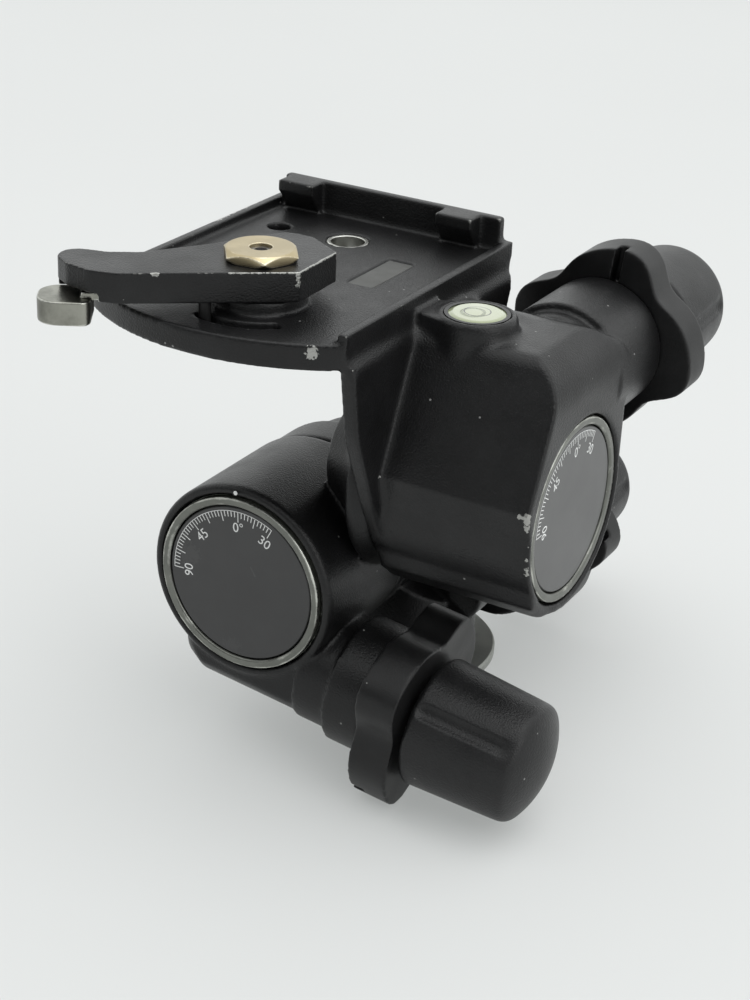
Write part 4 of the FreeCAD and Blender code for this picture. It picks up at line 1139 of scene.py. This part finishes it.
# ------------------------------------------------------------------ clamp
CLAMP_PIECES = (
    Rounded("clamp_lever", "cam_lever", "lever", "black_paint", LEVER_PAINT, 0.3, 4),
    Rounded("lever_nut", "hexagon_nut", "top", "brass", BRASS, 0.16, 5),
    Rounded("catch_tab", "catch_thumb", "catch", "bare_steel", WORN_METAL, 0.25, 12),
    Rounded("thread_insert", "tray_bush", "top", "bare_steel", BRIGHT_RIM, 0.16, 3),
    Rounded("blank_plate", "blank_label", "top", "plate_grey", PLATE, 0.16, 3))


# ------------------------------------------------------------------ studio
@dataclass(frozen=True)
class Lamp:
    """One soft square lamp, sizes in metres and watts."""

    name: str
    place: Point
    target: Point = (0.0, 0.0, 0.05)
    size: float = 1.0
    power: float = 5.0

    def build(self) -> None:
        """Add the lamp, turned to its target."""
        data = bpy.data.lights.new(self.name, "AREA")
        data.shape = "SQUARE"
        data.size = self.size
        data.energy = self.power
        lamp = new_object(self.name, data)
        lamp.location = self.place
        towards = Vector(self.target) - Vector(self.place)
        lamp.rotation_euler = towards.to_track_quat("-Z", "Y").to_euler()


@dataclass
class Studio:
    """Floor, light and camera."""

    azimuth: float = 28.922
    elevation: float = 25.718
    roll: float = 2.678
    place: Point = (247.1, -464.7, 302.0)
    focal: float = 1979.491
    sensor: float = 36.0
    image_height: float = 1000.0
    floor_z: float = -5.4
    floor_colour: float = 0.70
    floor_change: float = 0.01
    floor_scale: float = 3.0
    floor_span: Pair = (0.2, 0.8)
    floor_roughness: float = 0.6
    floor_shine: float = 0.2
    floor_lift: float = 0.38
    backdrop: Colour = (0.76, 0.79, 0.775)
    floor_size: float = 60.0
    bright_side: Point = (-0.02, 0.42, 0.907)
    bright_span: Pair = (-0.08, 0.65)
    sky_low: float = 0.02
    sky_high: float = 1.24
    sky_pale: float = 0.78
    horizon: Pair = (0.17, 0.27)
    sky_colour: Colour = (0.98, 1.0, 0.995)
    lamps: tuple[Lamp, ...] = (
        Lamp("top_lamp", (0.30, 0.10, 1.6)), Lamp("right_lamp", (1.5, -0.5, 0.8)))

    def camera(self) -> None:
        """Put the camera at its viewing angle."""
        around, up, roll = (math.radians(v) for v in (self.azimuth, self.elevation, self.roll))
        level = math.cos(up)
        back = Vector((math.sin(around) * level, -math.cos(around) * level, math.sin(up)))
        right = (-back).cross(Vector((0, 0, 1))).normalized()
        down = (-back).cross(right)
        across = right * math.cos(roll) - down * math.sin(roll)
        upward = -(right * math.sin(roll) + down * math.cos(roll))
        data = bpy.data.cameras.new("camera")
        data.sensor_fit = "VERTICAL"
        data.sensor_height = self.sensor
        data.lens = self.focal * self.sensor / self.image_height
        camera = new_object("camera", data)
        rows = [[across[i], upward[i], back[i], self.place[i] * MM] for i in range(3)]
        camera.matrix_world = Matrix(rows + [[0, 0, 0, 1]])
        bpy.context.scene.camera = camera

    def floor(self) -> None:
        """Plain pale floor that stays pale out to its edge."""
        deselect_all()
        bpy.ops.mesh.primitive_plane_add(size=self.floor_size, location=(0, 0, self.floor_z * MM))
        floor = bpy.context.object
        floor.name = "floor"
        material, sheet = new_material("pale_floor")
        low, high = self.floor_colour - self.floor_change, self.floor_colour + self.floor_change
        tone = sheet.ramp(sheet.noise(self.floor_scale), *self.floor_span, low, high)
        shade = sheet.add("ShaderNodeCombineColor", {0: tone, 1: tone, 2: tone}).outputs[0]
        shader = sheet.add("ShaderNodeBsdfPrincipled", {
            "Base Color": shade, "Roughness": self.floor_roughness,
            "Specular IOR Level": self.floor_shine})
        glow = sheet.add("ShaderNodeEmission", {0: (*self.backdrop, 1.0), 1: 1.0})
        rays = sheet.add("ShaderNodeLightPath").outputs
        seen = sheet.math("MAXIMUM", rays["Is Glossy Ray"], rays["Is Transmission Ray"])
        seen = sheet.math("MAXIMUM", rays["Is Camera Ray"], seen)
        share = sheet.math("MULTIPLY", seen, self.floor_lift)
        both = sheet.add("ShaderNodeMixShader",
                         {0: share, 1: shader.outputs[0], 2: glow.outputs[0]})
        sheet.add("ShaderNodeOutputMaterial", {0: both.outputs[0]})
        floor.data.materials.append(material)

    def sky(self) -> None:
        """Soft world light: bright above and behind, dark above the front, pale low down."""
        world = bpy.data.worlds.new("studio")
        bpy.context.scene.world = world
        world.use_nodes = True
        sheet = Sheet(world.node_tree)
        direction = sheet.add("ShaderNodeTexCoord").outputs["Generated"]
        towards = sheet.vector("DOT_PRODUCT", direction, self.bright_side)
        above = sheet.ramp(towards, *self.bright_span, self.sky_low, self.sky_high)
        height = sheet.add("ShaderNodeSeparateXYZ", {0: direction}).outputs["Z"]
        low = sheet.ramp(height, *self.horizon, self.sky_pale, 0.0)
        level = sheet.math("MAXIMUM", above, low)
        light = sheet.add("ShaderNodeBackground", {0: (*self.sky_colour, 1.0), 1: level})
        sheet.add("ShaderNodeOutputWorld", {0: light.outputs[0]})

    def build(self) -> None:
        """Set up the whole studio."""
        self.camera()
        self.floor()
        self.sky()
        for lamp in self.lamps:
            lamp.build()
        bpy.context.scene.view_settings.view_transform = "Standard"


# ------------------------------------------------------------------ main
def main() -> None:
    """Build every sub-assembly, dress the CAD nodes and set up the studio."""
    logging.basicConfig(level=logging.INFO, format="%(message)s")
    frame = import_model()
    paints = Paintbox()
    for node, piece in frame["nodes"].items():
        paints.dress(piece, NODE_FINISH[node])
    Castings().build(paints)
    Drives().build(paints)
    for scale in (Scale("side", "lower", "middle", (-11.5, -70.0, 48.5), Facing.FRONT, turn=2.3),
                  Scale("front", "middle", "top", (68.2, -35.2, 79.2), Facing.RIGHT)):
        scale.build(paints)
    IndexDot().build(paints)
    for small in CLAMP_PIECES:
        small.build(paints)
    Studio().build()


if __name__ == "__main__":
    main()
